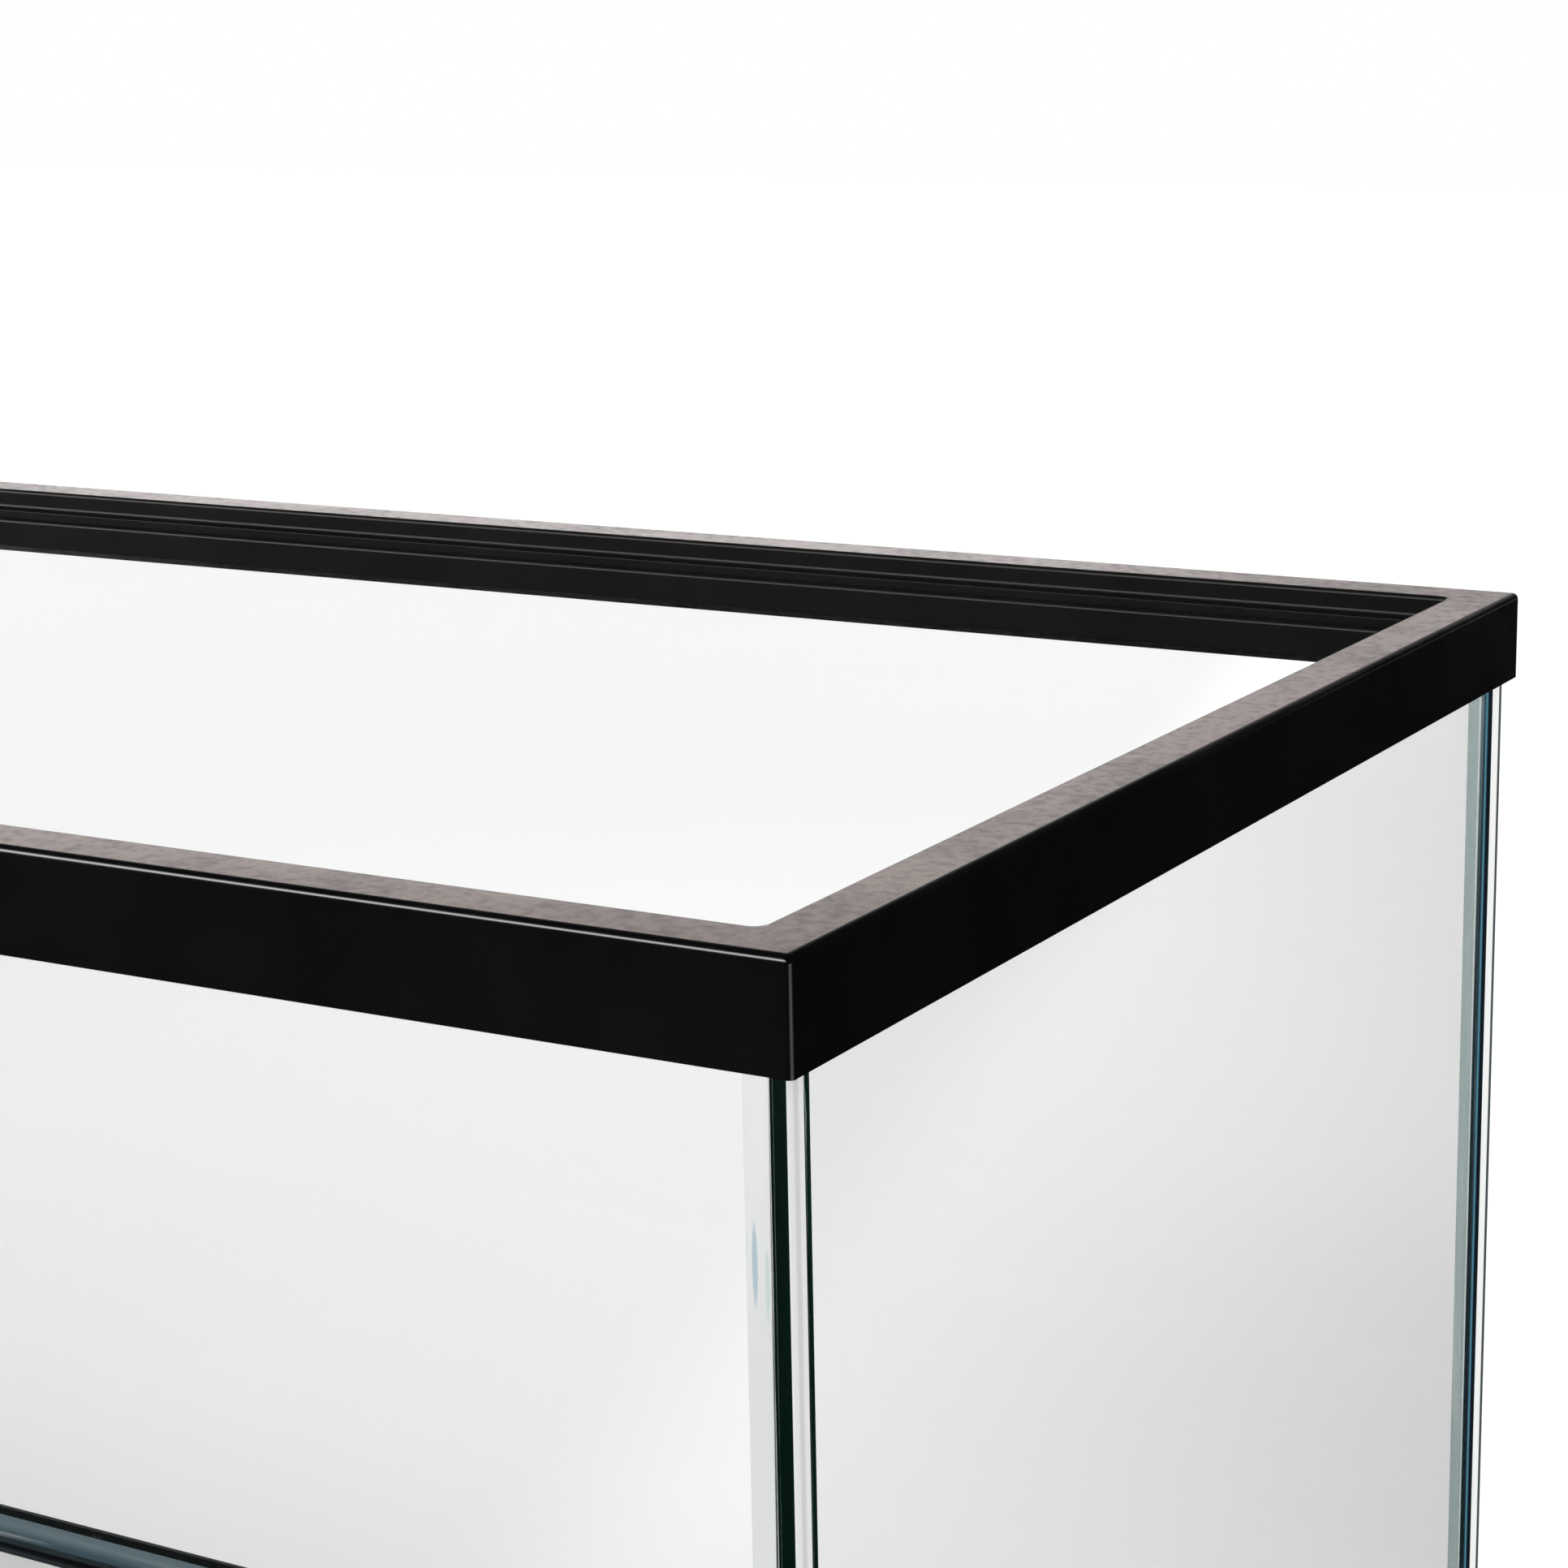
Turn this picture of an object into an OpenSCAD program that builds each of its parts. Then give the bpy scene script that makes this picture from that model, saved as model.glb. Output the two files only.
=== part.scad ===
// Rimmed glass terrarium: five bonded panes between a moulded top frame and a moulded bottom frame.
// Millimetres. X runs along the tank, -Y is the front, Z is up, and the floor is at Z = 0.

/* [Overall] */
// Length of both frames, along the tank
frame_l = 768; // [400:1:1250]
// Depth of both frames, from front to rear
frame_d = 318; // [240:1:640]
// Height from the floor to the top of the top frame
tank_h = 324; // [200:1:650]

/* [Glass] */
// Thickness of the four wall panes
wall_t = 4.8; // [3:0.1:6]
// Thickness of the base pane
base_t = 4.8; // [3:0.1:8]
// Space between the frames' front skirt and the front pane
front_play = 0.4; // [0.2:0.1:1.2]
// Space between the frames' rear skirt and the back pane
rear_play = 2.6; // [0.2:0.1:3]
// Space between each end skirt and its end pane
end_play = 0.4; // [0.2:0.1:1.2]

/* [Moulding] */
// Wall of both mouldings
mould_t = 1.6; // [1.2:0.1:2]
// Radius of the mouldings' outer edges and corners
edge_r = 1.3; // [0.6:0.1:1.5]
// Distance between the nibs that centre a skirt on the glass
nib_pitch = 70; // [40:1:150]
// Length of one nib
nib_l = 4; // [2:0.5:10]
// Height of one nib
nib_h = 8; // [4:0.5:10]
// How far a nib reaches past the skirt's edge
nib_drop = 0.3; // [0.1:0.1:0.8]
// How far a nib on the rear skirt stops short of the skirt's edge
rear_nib_rise = 0.6; // [0.2:0.1:2]

/* [Top frame] */
// Height of the top frame's outer skirt
top_skirt_h = 18.6; // [16:0.1:30]
// Width of the flat top of the top frame
flange_w = 12.1; // [11.6:0.1:16]
// Thickness of the flat top
flange_t = 2; // [1.5:0.1:2.6]
// Radius of the flat top's inner edge
flange_r = 1; // [0.4:0.1:1.2]
// Radius of the opening's corners
opening_r = 2; // [1:0.1:2.5]
// Depth of the lid ledge below the top
lid_ledge_drop = 5.1; // [4.6:0.1:6]
// Width of the lid ledge
lid_ledge_w = 2.9; // [2:0.1:6]
// Radius between the lid ledge and the wall above it
cove_r = 1.2; // [0.4:0.1:1.6]
// Depth of the lower step below the lid ledge
step_drop = 2.2; // [1.8:0.1:3]
// Width of the lower step
step_w = 1.5; // [1.2:0.1:3]
// Radius of the lower step's edge
step_r = 1; // [0.4:0.1:1.1]
// Depth of the inner skirt's edge below the top
inner_skirt_h = 14.6; // [11:0.1:16]
// Depth of the glass channel's inner leg below the top
channel_leg_h = 9; // [7:0.1:14]
// Thickness of the glass channel's inner leg
channel_leg_t = 1.2; // [0.8:0.1:1.4]
// Space between the wall panes and the glass channel's inner leg
channel_fit = 0.4; // [0.2:0.1:0.6]

/* [Bottom frame] */
// Height of the bottom frame's outer skirt
bottom_skirt_h = 15.1; // [13:0.1:30]
// Height of the ledge that carries the glass
ledge_h = 6; // [5:0.1:10]
// Distance of the ledge's inner edge from the frame's outer face
ledge_w = 16; // [14:0.1:30]
// Distance between the webs under the ledge
web_pitch = 64; // [40:1:150]

/* [Silicone] */
// Bond line between neighbouring panes
joint_t = 1.2; // [0.6:0.1:2]
// How far a bond line stops short of the outer faces
joint_recess = 0.3; // [0.1:0.1:0.8]
// Bedding between the glass and each frame
bed_t = 0.6; // [0.3:0.1:1.5]
// Width of the beads on each pane
bead_w = 4.5; // [3:0.1:6]
// Radius that the beads are smoothed to
bead_r = 6; // [5:0.1:12]

/* [Hidden] */
$fn = 48;

// A cut runs past the face that it opens by this much
past = 1;

// Outer faces of the glass box
glass_left = -frame_l / 2 + mould_t + end_play;
glass_right = frame_l / 2 - mould_t - end_play;
glass_front = -frame_d / 2 + mould_t + front_play;
glass_back = frame_d / 2 - mould_t - rear_play;
glass_low = ledge_h + bed_t;
glass_high = tank_h - flange_t - bed_t;

// Inner faces of the wall panes, and the top of the base pane
inner_left = glass_left + wall_t;
inner_right = glass_right - wall_t;
inner_front = glass_front + wall_t;
inner_back = glass_back - wall_t;
base_top = glass_low + base_t;

// Insets of the top frame's steps from its outer face, and their heights
lid_edge = flange_w + lid_ledge_w;
step_edge = lid_edge + step_w;
lid_ledge_z = tank_h - lid_ledge_drop;
step_z = lid_ledge_z - step_drop;

// The upright beads end below the glass channel's inner leg
bead_top = min(tank_h - channel_leg_h, step_z - mould_t) - channel_fit;

// Middle of the circle that smooths a bead, from the corner between its panes
bead_mid = (bead_w + sqrt(2 * bead_r * bead_r - bead_w * bead_w)) / 2;

black = [0.06, 0.058, 0.06];
clear_green = [0.8, 0.9, 0.87, 0.35];
milky = [0.86, 0.89, 0.88, 0.7];

function nib_count(length) = max(1, round(length / nib_pitch) - 1);
function web_count(length) = max(1, round(length / web_pitch) - 1);

// Box from its lowest corner to its highest corner
module block(low, high) {
    translate(low) cube(high - low);
}

// What rounding takes off a convex edge at the origin, with the material below it on the left
module edge_cutter(radius) {
    difference() {
        translate([-radius, -radius]) square(radius + past);
        translate([-radius, -radius]) circle(radius);
    }
}

// Quarter cove that fills a concave corner at the origin
module cove(radius) {
    difference() {
        square(radius);
        translate([radius, radius]) circle(radius);
    }
}

// Solid with the frames' outer faces, rounded at its upright corners and upper edges
module outer_block(height) {
    x = frame_l / 2 - edge_r;
    y = frame_d / 2 - edge_r;
    z = height - edge_r;
    block([-x, -y, 0], [x, y, height]);
    block([-frame_l / 2, -y, 0], [frame_l / 2, y, z]);
    block([-x, -frame_d / 2, 0], [x, frame_d / 2, z]);
    for (sx = [-1, 1], sy = [-1, 1])
        translate([sx * x, sy * y, 0]) {
            cylinder(h = z, r = edge_r);
            translate([0, 0, z]) sphere(r = edge_r);
        }
    for (sy = [-1, 1])
        translate([-x, sy * y, z]) rotate([0, 90, 0]) cylinder(h = 2 * x, r = edge_r);
    for (sx = [-1, 1])
        translate([sx * x, y, z]) rotate([90, 0, 0]) cylinder(h = 2 * y, r = edge_r);
}

// Block with its sides set in from the frames' outer faces
module inset_block(inset, low, high) {
    x = frame_l / 2 - inset;
    y = frame_d / 2 - inset;
    block([-x, -y, low], [x, y, high]);
}

// Wall that runs all round, from one inset to a deeper one
module loop(outer, inner, low, high) {
    difference() {
        inset_block(outer, low, high);
        inset_block(inner, low - past, high + past);
    }
}

// Section run along all four sides. Its X is the inset from the outer face, and its Y is the height.
module all_round() {
    for (turn = [0, 180]) {
        rotate(turn) side(frame_l, frame_d) children();
        rotate(turn + 90) side(frame_d, frame_l) children();
    }
}

module side(length, depth) {
    translate([-length / 2, -depth / 2, 0])
        rotate([90, 0, 90])
            linear_extrude(length) children();
}

// Section of the top frame before it is hollowed: flat top, lid ledge and lower step
module top_section() {
    low = tank_h - top_skirt_h;
    difference() {
        union() {
            translate([0, low]) square([flange_w, top_skirt_h]);
            translate([0, low]) square([lid_edge, lid_ledge_z - low]);
            translate([0, low]) square([step_edge, step_z - low]);
            translate([flange_w, lid_ledge_z]) cove(cove_r);
        }
        translate([flange_w, tank_h]) edge_cutter(flange_r);
        translate([step_edge, step_z]) edge_cutter(step_r);
    }
}

// Hollow under the top frame, which leaves its outer skirt, its steps and its inner skirt
module top_hollow() {
    low = tank_h - top_skirt_h - past;
    loop(mould_t, flange_w - mould_t, low, tank_h - flange_t);
    loop(mould_t, lid_edge - mould_t, low, lid_ledge_z - mould_t);
    loop(mould_t, step_edge - mould_t, low, step_z - mould_t);
    loop(mould_t, step_edge + past, low, tank_h - inner_skirt_h);
}

// Inner leg of the channel that the wall panes' upper edges stand in
module channel_leg() {
    outer = channel_fit;
    inner = channel_fit + channel_leg_t;
    difference() {
        block([inner_left + outer, inner_front + outer, tank_h - channel_leg_h],
              [inner_right - outer, inner_back - outer, tank_h - flange_t / 2]);
        block([inner_left + inner, inner_front + inner, tank_h - channel_leg_h - past],
              [inner_right - inner, inner_back - inner, tank_h]);
    }
}

// Nibs along one side, on the inside of a skirt that runs from low to high
module nibs(length, depth, play, low, high) {
    count = nib_count(length);
    step = length / (count + 1);
    for (i = [1 : count])
        block([-length / 2 + i * step - nib_l / 2, -depth / 2 + mould_t, low],
              [-length / 2 + i * step + nib_l / 2, -depth / 2 + mould_t + play, high]);
}

// Webs under the ledge along one side
module webs(length, depth) {
    count = web_count(length);
    step = length / (count + 1);
    for (i = [1 : count])
        block([-length / 2 + i * step - mould_t / 2, -depth / 2 + mould_t, 0],
              [-length / 2 + i * step + mould_t / 2, -depth / 2 + ledge_w - mould_t, ledge_h - mould_t]);
}

// Section of a silicone bead in the corner between two panes, with its corner at the origin
module bead_section() {
    difference() {
        square(bead_w);
        translate([bead_mid, bead_mid]) circle(bead_r);
    }
}

// Upright bead in the corner at sx, sy
module upright_bead(sx, sy) {
    x = sx < 0 ? inner_left : inner_right;
    y = sy < 0 ? inner_front : inner_back;
    translate([x, y, base_top])
        rotate([0, 0, sx < 0 ? (sy < 0 ? 0 : -90) : (sy < 0 ? 90 : 180)])
            linear_extrude(bead_top - base_top) bead_section();
}

module upright_beads() {
    for (sx = [-1, 1], sy = [-1, 1]) upright_bead(sx, sy);
}

// Bead along the base pane's edge, centred on a run of the given length, against a wall at -Y.
// Its ends are mitred.
module base_bead(length) {
    end = length / 2;
    wide = bead_w + past;
    intersection() {
        translate([-end, 0, base_top])
            rotate([90, 0, 90])
                linear_extrude(length) bead_section();
        translate([0, 0, base_top - past])
            linear_extrude(bead_w + 2 * past)
                polygon([[-end - past, -past], [end + past, -past], [end - wide, wide], [-end + wide, wide]]);
    }
}

// Nibs on all four sides of a skirt that ends at the given height, and goes up or down from there
module all_nibs(edge, goes_up) {
    low = goes_up ? edge - nib_drop : edge + nib_drop - nib_h;
    rear_low = goes_up ? edge + rear_nib_rise : edge - rear_nib_rise - nib_h;
    nibs(frame_l, frame_d, front_play, low, low + nib_h);
    rotate(180) nibs(frame_l, frame_d, rear_play, rear_low, rear_low + nib_h);
    rotate(90) nibs(frame_d, frame_l, end_play, low, low + nib_h);
    rotate(270) nibs(frame_d, frame_l, end_play, low, low + nib_h);
}

// Roundings of the top opening's corners
module opening_corners() {
    x = frame_l / 2 - flange_w;
    y = frame_d / 2 - flange_w;
    for (turn = [0, 180])
        rotate(turn) translate([0, 0, lid_ledge_z]) {
            translate([-x, -y, 0]) linear_extrude(lid_ledge_drop - flange_r) cove(opening_r);
            translate([x, -y, 0]) rotate(90) linear_extrude(lid_ledge_drop - flange_r) cove(opening_r);
        }
}

module top_frame() {
    color(black) {
        difference() {
            intersection() {
                outer_block(tank_h);
                all_round() top_section();
            }
            top_hollow();
        }
        opening_corners();
        channel_leg();
        all_nibs(tank_h - top_skirt_h, true);
    }
}

module bottom_frame() {
    color(black) {
        difference() {
            translate([0, 0, bottom_skirt_h]) mirror([0, 0, 1]) outer_block(bottom_skirt_h);
            inset_block(mould_t, ledge_h, bottom_skirt_h + past);
            inset_block(ledge_w, -past, ledge_h + past);
            loop(mould_t, ledge_w - mould_t, -past, ledge_h - mould_t);
        }
        for (turn = [0, 180]) {
            rotate(turn) webs(frame_l, frame_d);
            rotate(turn + 90) webs(frame_d, frame_l);
        }
        all_nibs(bottom_skirt_h, false);
    }
}

module front_glass() {
    color(clear_green)
        block([glass_left, glass_front, glass_low], [glass_right, inner_front, glass_high]);
}

module back_glass() {
    color(clear_green)
        block([glass_left, inner_back, glass_low], [glass_right, glass_back, glass_high]);
}

module left_glass() {
    color(clear_green)
        block([glass_left, inner_front + joint_t, glass_low], [inner_left, inner_back - joint_t, glass_high]);
}

module right_glass() {
    color(clear_green)
        block([inner_right, inner_front + joint_t, glass_low], [glass_right, inner_back - joint_t, glass_high]);
}

module base_glass() {
    color(clear_green)
        block([inner_left + joint_t, inner_front + joint_t, glass_low],
              [inner_right - joint_t, inner_back - joint_t, base_top]);
}

// Upright bond line between a long pane and the edge of an end pane
module corner_joint(sx, sy) {
    x0 = sx < 0 ? glass_left + joint_recess : inner_right;
    x1 = sx < 0 ? inner_left : glass_right - joint_recess;
    y0 = sy < 0 ? inner_front : inner_back - joint_t;
    color(milky) block([x0, y0, glass_low], [x1, y0 + joint_t, glass_high]);
}

module front_left_joint() { corner_joint(-1, -1); }
module front_right_joint() { corner_joint(1, -1); }
module back_left_joint() { corner_joint(-1, 1); }
module back_right_joint() { corner_joint(1, 1); }

module front_base_joint() {
    color(milky) block([inner_left, inner_front, glass_low], [inner_right, inner_front + joint_t, base_top]);
}

module back_base_joint() {
    color(milky) block([inner_left, inner_back - joint_t, glass_low], [inner_right, inner_back, base_top]);
}

module left_base_joint() {
    color(milky)
        block([inner_left, inner_front + joint_t, glass_low], [inner_left + joint_t, inner_back - joint_t, base_top]);
}

module right_base_joint() {
    color(milky)
        block([inner_right - joint_t, inner_front + joint_t, glass_low], [inner_right, inner_back - joint_t, base_top]);
}

module front_left_bead() { color(milky) upright_bead(-1, -1); }
module front_right_bead() { color(milky) upright_bead(1, -1); }
module back_left_bead() { color(milky) upright_bead(-1, 1); }
module back_right_bead() { color(milky) upright_bead(1, 1); }

module front_base_bead() {
    color(milky) difference() {
        translate([(inner_left + inner_right) / 2, inner_front, 0]) base_bead(inner_right - inner_left);
        upright_beads();
    }
}

module back_base_bead() {
    color(milky) difference() {
        translate([(inner_left + inner_right) / 2, inner_back, 0])
            rotate(180) base_bead(inner_right - inner_left);
        upright_beads();
    }
}

module left_base_bead() {
    color(milky) difference() {
        translate([inner_left, (inner_front + inner_back) / 2, 0])
            rotate(-90) base_bead(inner_back - inner_front);
        upright_beads();
    }
}

module right_base_bead() {
    color(milky) difference() {
        translate([inner_right, (inner_front + inner_back) / 2, 0])
            rotate(90) base_bead(inner_back - inner_front);
        upright_beads();
    }
}

// Silicone between the panes' upper edges and the underside of the flat top
module top_bedding() {
    color(milky) difference() {
        block([glass_left, glass_front, glass_high], [glass_right, glass_back, glass_high + bed_t]);
        block([inner_left, inner_front, glass_high - past], [inner_right, inner_back, glass_high + bed_t + past]);
    }
}

// Silicone between the ledge and the glass that stands on it
module bottom_bedding() {
    inset = ledge_w - mould_t;
    color(milky) difference() {
        block([glass_left, glass_front, ledge_h], [glass_right, glass_back, glass_low]);
        block([-frame_l / 2 + inset, -frame_d / 2 + inset, ledge_h - past],
              [frame_l / 2 - inset, frame_d / 2 - inset, glass_low + past]);
    }
}

top_frame();
bottom_frame();
front_glass();
back_glass();
left_glass();
right_glass();
base_glass();
front_left_joint();
front_right_joint();
back_left_joint();
back_right_joint();
front_base_joint();
back_base_joint();
left_base_joint();
right_base_joint();
front_left_bead();
front_right_bead();
back_left_bead();
back_right_bead();
front_base_bead();
back_base_bead();
left_base_bead();
right_base_bead();
top_bedding();
bottom_bedding();
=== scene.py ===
"""Looks of a rimmed glass terrarium tank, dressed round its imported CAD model.

Metres, in the CAD model's frame: X runs along the tank, -Y is the front, Z is up and the floor is at Z = 0.
"""

import logging
import math
from dataclasses import dataclass, replace
from enum import Enum, IntEnum
from typing import Callable, Iterable, Iterator, NamedTuple, Optional, Sequence

import bmesh
import bpy
from mathutils import Matrix, Vector


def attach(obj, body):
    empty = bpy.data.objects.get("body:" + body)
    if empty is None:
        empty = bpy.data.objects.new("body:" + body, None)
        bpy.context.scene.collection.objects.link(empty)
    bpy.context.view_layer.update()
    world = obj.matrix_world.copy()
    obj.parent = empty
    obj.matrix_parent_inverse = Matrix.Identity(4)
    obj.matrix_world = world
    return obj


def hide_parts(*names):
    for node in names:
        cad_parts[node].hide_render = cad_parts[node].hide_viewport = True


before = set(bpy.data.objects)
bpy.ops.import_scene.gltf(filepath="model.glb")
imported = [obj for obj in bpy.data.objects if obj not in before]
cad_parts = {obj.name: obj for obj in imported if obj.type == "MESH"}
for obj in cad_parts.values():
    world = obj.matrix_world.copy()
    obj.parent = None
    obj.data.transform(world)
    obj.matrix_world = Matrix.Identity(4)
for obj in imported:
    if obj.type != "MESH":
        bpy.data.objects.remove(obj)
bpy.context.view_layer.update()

LOG = logging.getLogger("terrarium")
MM = 0.001
TOUCH = 1e-6
# Edges that bend by more than this stay sharp
SHARP_ANGLE = math.radians(35)
SHADING_WEIGHT = 100
# Part of its normal that a face has along an axis when it counts as square to it
LEVEL = 0.9
# Reflections and refractions that a ray may make, enough for a look through all the panes
BOUNCES = 24
PLASTIC_IOR = 1.5
GLASS_IOR = 1.52
SILICONE_IOR = 1.41
NOISE_MIDDLE = 0.5
# Parts the counts of a ray's steps, which are whole numbers
HALF_STEP = 0.5
# Numbers of a Mix node's two colour inputs and of its colour output
MIX_COLOURS = (6, 7)
MIX_RESULT = 2

Colour = tuple[float, float, float, float]
BLACK: Colour = (0.0, 0.0, 0.0, 1.0)
WHITE: Colour = (1.0, 1.0, 1.0, 1.0)


class Span(NamedTuple):
    """A smooth step: the range over which a value counts, and the results at its two ends."""

    low: float
    high: float
    start: float = 0.0
    end: float = 1.0


class Grain(NamedTuple):
    """A noise pattern: bumps a metre, finer octaves, their strength, and factors on the coordinates."""

    scale: float
    detail: float = 2.0
    roughness: float = 0.5
    stretch: tuple[float, float, float] = (1.0, 1.0, 1.0)


class Bumps(NamedTuple):
    """A bumped pattern's depth in metres, and its strength from 0 to 1."""

    depth: float
    strength: float


class Steps(IntEnum):
    """Steps across a rounding, by how much of it shows."""

    FLAT = 1
    TINY = 2
    BROKEN = 3
    SMALL = 5
    LARGE = 7
    CORNER = 8


def around(middle: float, blur: float) -> tuple[float, float]:
    """Return the range from a blur below a middle to a blur above it."""
    return middle - blur, middle + blur


@dataclass(frozen=True)
class TankSizes:
    """Sizes that several sub-assemblies share, in metres, as in the CAD model."""

    length: float = 768 * MM
    depth: float = 318 * MM
    height: float = 324 * MM
    wall: float = 4.8 * MM
    base: float = 4.8 * MM
    mould: float = 1.6 * MM
    front_play: float = 0.4 * MM
    rear_play: float = 2.6 * MM
    end_play: float = 0.4 * MM
    joint: float = 1.2 * MM
    joint_recess: float = 0.3 * MM
    bed: float = 0.6 * MM
    ledge: float = 6.0 * MM
    flange: float = 2.0 * MM
    bead: float = 4.5 * MM
    bead_radius: float = 6.0 * MM
    bead_high: float = 314.6 * MM

    @property
    def glass_end(self) -> float:
        """Distance of the end panes' outer faces from the middle."""
        return self.length / 2 - self.mould - self.end_play

    @property
    def glass_front(self) -> float:
        """Y of the front pane's outer face."""
        return -self.depth / 2 + self.mould + self.front_play

    @property
    def glass_back(self) -> float:
        """Y of the back pane's outer face."""
        return self.depth / 2 - self.mould - self.rear_play

    @property
    def glass_low(self) -> float:
        """Z of the panes' lower edges."""
        return self.ledge + self.bed

    @property
    def glass_high(self) -> float:
        """Z of the panes' upper edges."""
        return self.height - self.flange - self.bed

    @property
    def inner_end(self) -> float:
        """Distance of the end panes' inner faces from the middle."""
        return self.glass_end - self.wall

    @property
    def inner_front(self) -> float:
        """Y of the front pane's inner face."""
        return self.glass_front + self.wall

    @property
    def inner_back(self) -> float:
        """Y of the back pane's inner face."""
        return self.glass_back - self.wall

    @property
    def base_top(self) -> float:
        """Z of the base pane's upper face."""
        return self.glass_low + self.base


TANK = TankSizes()


class Shape:
    """A mesh in the making, with the moves that the mouldings, panes and silicone share."""

    def __init__(self) -> None:
        """Start with an empty mesh."""
        self.mesh = bmesh.new()

    def block(self, first: Sequence[float], second: Sequence[float]) -> list[bmesh.types.BMVert]:
        """Add a box.

        Args:
            first: One of its corners.
            second: The corner across from it.

        Returns:
            The box's eight corners.
        """
        near, far = Vector(first), Vector(second)
        size = [abs(reach) for reach in far - near]
        place = Matrix.Translation((near + far) / 2) @ Matrix.Diagonal((*size, 1.0))
        return bmesh.ops.create_cube(self.mesh, size=1.0, matrix=place)["verts"]

    def level_face(self, height: float) -> bmesh.types.BMFace:
        """Find the widest level face at a height.

        Args:
            height: Its Z.

        Returns:
            The face.
        """
        level = [f for f in self.mesh.faces if all(abs(v.co.z - height) < TOUCH for v in f.verts)]
        return max(level, key=lambda f: f.calc_area())

    def inset(self, face: bmesh.types.BMFace, width: float) -> bmesh.types.BMFace:
        """Inset a face and return what is left of it in the middle.

        Args:
            face: The face.
            width: How far its edges come in.

        Returns:
            The inner face.
        """
        bmesh.ops.inset_region(self.mesh, faces=[face], thickness=width, depth=0.0, use_even_offset=True)
        return face

    def push(self, face: bmesh.types.BMFace, height: float) -> bmesh.types.BMFace:
        """Extrude a face up or down to a height.

        Args:
            face: The face.
            height: The Z it goes to.

        Returns:
            The face at its new height.
        """
        moved = bmesh.ops.extrude_discrete_faces(self.mesh, faces=[face])["faces"][0]
        rise = Vector((0.0, 0.0, height - moved.verts[0].co.z))
        bmesh.ops.translate(self.mesh, verts=moved.verts, vec=rise)
        return moved

    def edges(self, wanted: Callable[[bmesh.types.BMEdge], bool]) -> list[bmesh.types.BMEdge]:
        """Return the edges that pass a test."""
        return [e for e in self.mesh.edges if wanted(e)]

    def round_over(self, edges: Iterable[bmesh.types.BMEdge], radius: float, steps: Steps) -> None:
        """Round edges over.

        Args:
            edges: The edges.
            radius: Radius of the rounding.
            steps: Steps across the rounding.
        """
        bmesh.ops.bevel(
            self.mesh, geom=list(edges), offset=radius, offset_type="OFFSET", segments=int(steps),
            profile=0.5, affect="EDGES", material=-1, clamp_overlap=False, miter_outer="SHARP",
        )

    def slice_across(self, axis: int, places: Iterable[float]) -> None:
        """Cut the mesh across an axis.

        Args:
            axis: 0 for X, 1 for Y or 2 for Z.
            places: Where to cut.
        """
        normal = Vector((0.0, 0.0, 0.0))
        normal[axis] = 1.0
        for place in places:
            geometry = [*self.mesh.verts, *self.mesh.edges, *self.mesh.faces]
            bmesh.ops.bisect_plane(
                self.mesh, geom=geometry, dist=TOUCH, plane_co=normal * place, plane_no=normal
            )

    def piece(
        self,
        name: str,
        finishes: Sequence[bpy.types.Material],
        smooth: bool = True,
        finish_of: Optional[Callable[[bmesh.types.BMFace], int]] = None,
    ) -> bpy.types.Object:
        """Turn the mesh into an object.

        Args:
            name: The object's name.
            finishes: Its materials.
            smooth: True to shade it smooth, with flat faces kept flat.
            finish_of: Gives the material's number for a face, if there is more than one.

        Returns:
            The object, at the origin.
        """
        bmesh.ops.remove_doubles(self.mesh, verts=self.mesh.verts, dist=TOUCH)
        bmesh.ops.recalc_face_normals(self.mesh, faces=self.mesh.faces)
        for face in self.mesh.faces:
            face.smooth = smooth
            if finish_of is not None:
                face.material_index = finish_of(face)
        for edge in self.mesh.edges:
            edge.smooth = edge.calc_face_angle(math.pi) < SHARP_ANGLE
        data = bpy.data.meshes.new(name)
        self.mesh.to_mesh(data)
        self.mesh.free()
        piece = bpy.data.objects.new(name, data)
        bpy.context.scene.collection.objects.link(piece)
        for finish in finishes:
            data.materials.append(finish)
        if smooth:
            shading = piece.modifiers.new("shading", "WEIGHTED_NORMAL")
            shading.mode = "FACE_AREA"
            shading.weight = SHADING_WEIGHT
            shading.keep_sharp = True
        return piece


class Reporter:
    """Puts finished pieces under the root body, hides the CAD nodes they stand for, and reports each one.
    """

    @staticmethod
    def stand_in(piece: bpy.types.Object, slot: str, *nodes: str) -> None:
        """Attach a piece that stands for CAD nodes to the root body, and hide those nodes.

        Args:
            piece: The finished piece.
            slot: Not used.
            nodes: The CAD nodes that it replaces.
        """
        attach(piece, "root")
        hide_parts(*nodes)
        LOG.info("%s: %d faces, for %s", piece.name, len(piece.data.polygons), ", ".join(nodes))

    @staticmethod
    def dress(node: str, finish: bpy.types.Material) -> None:
        """Give a CAD node a better material.

        Args:
            node: The node's name.
            finish: The material.
        """
        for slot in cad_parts[node].material_slots:
            slot.material = finish
        LOG.info("%s: CAD mesh, %s", node, finish.name)


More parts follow.
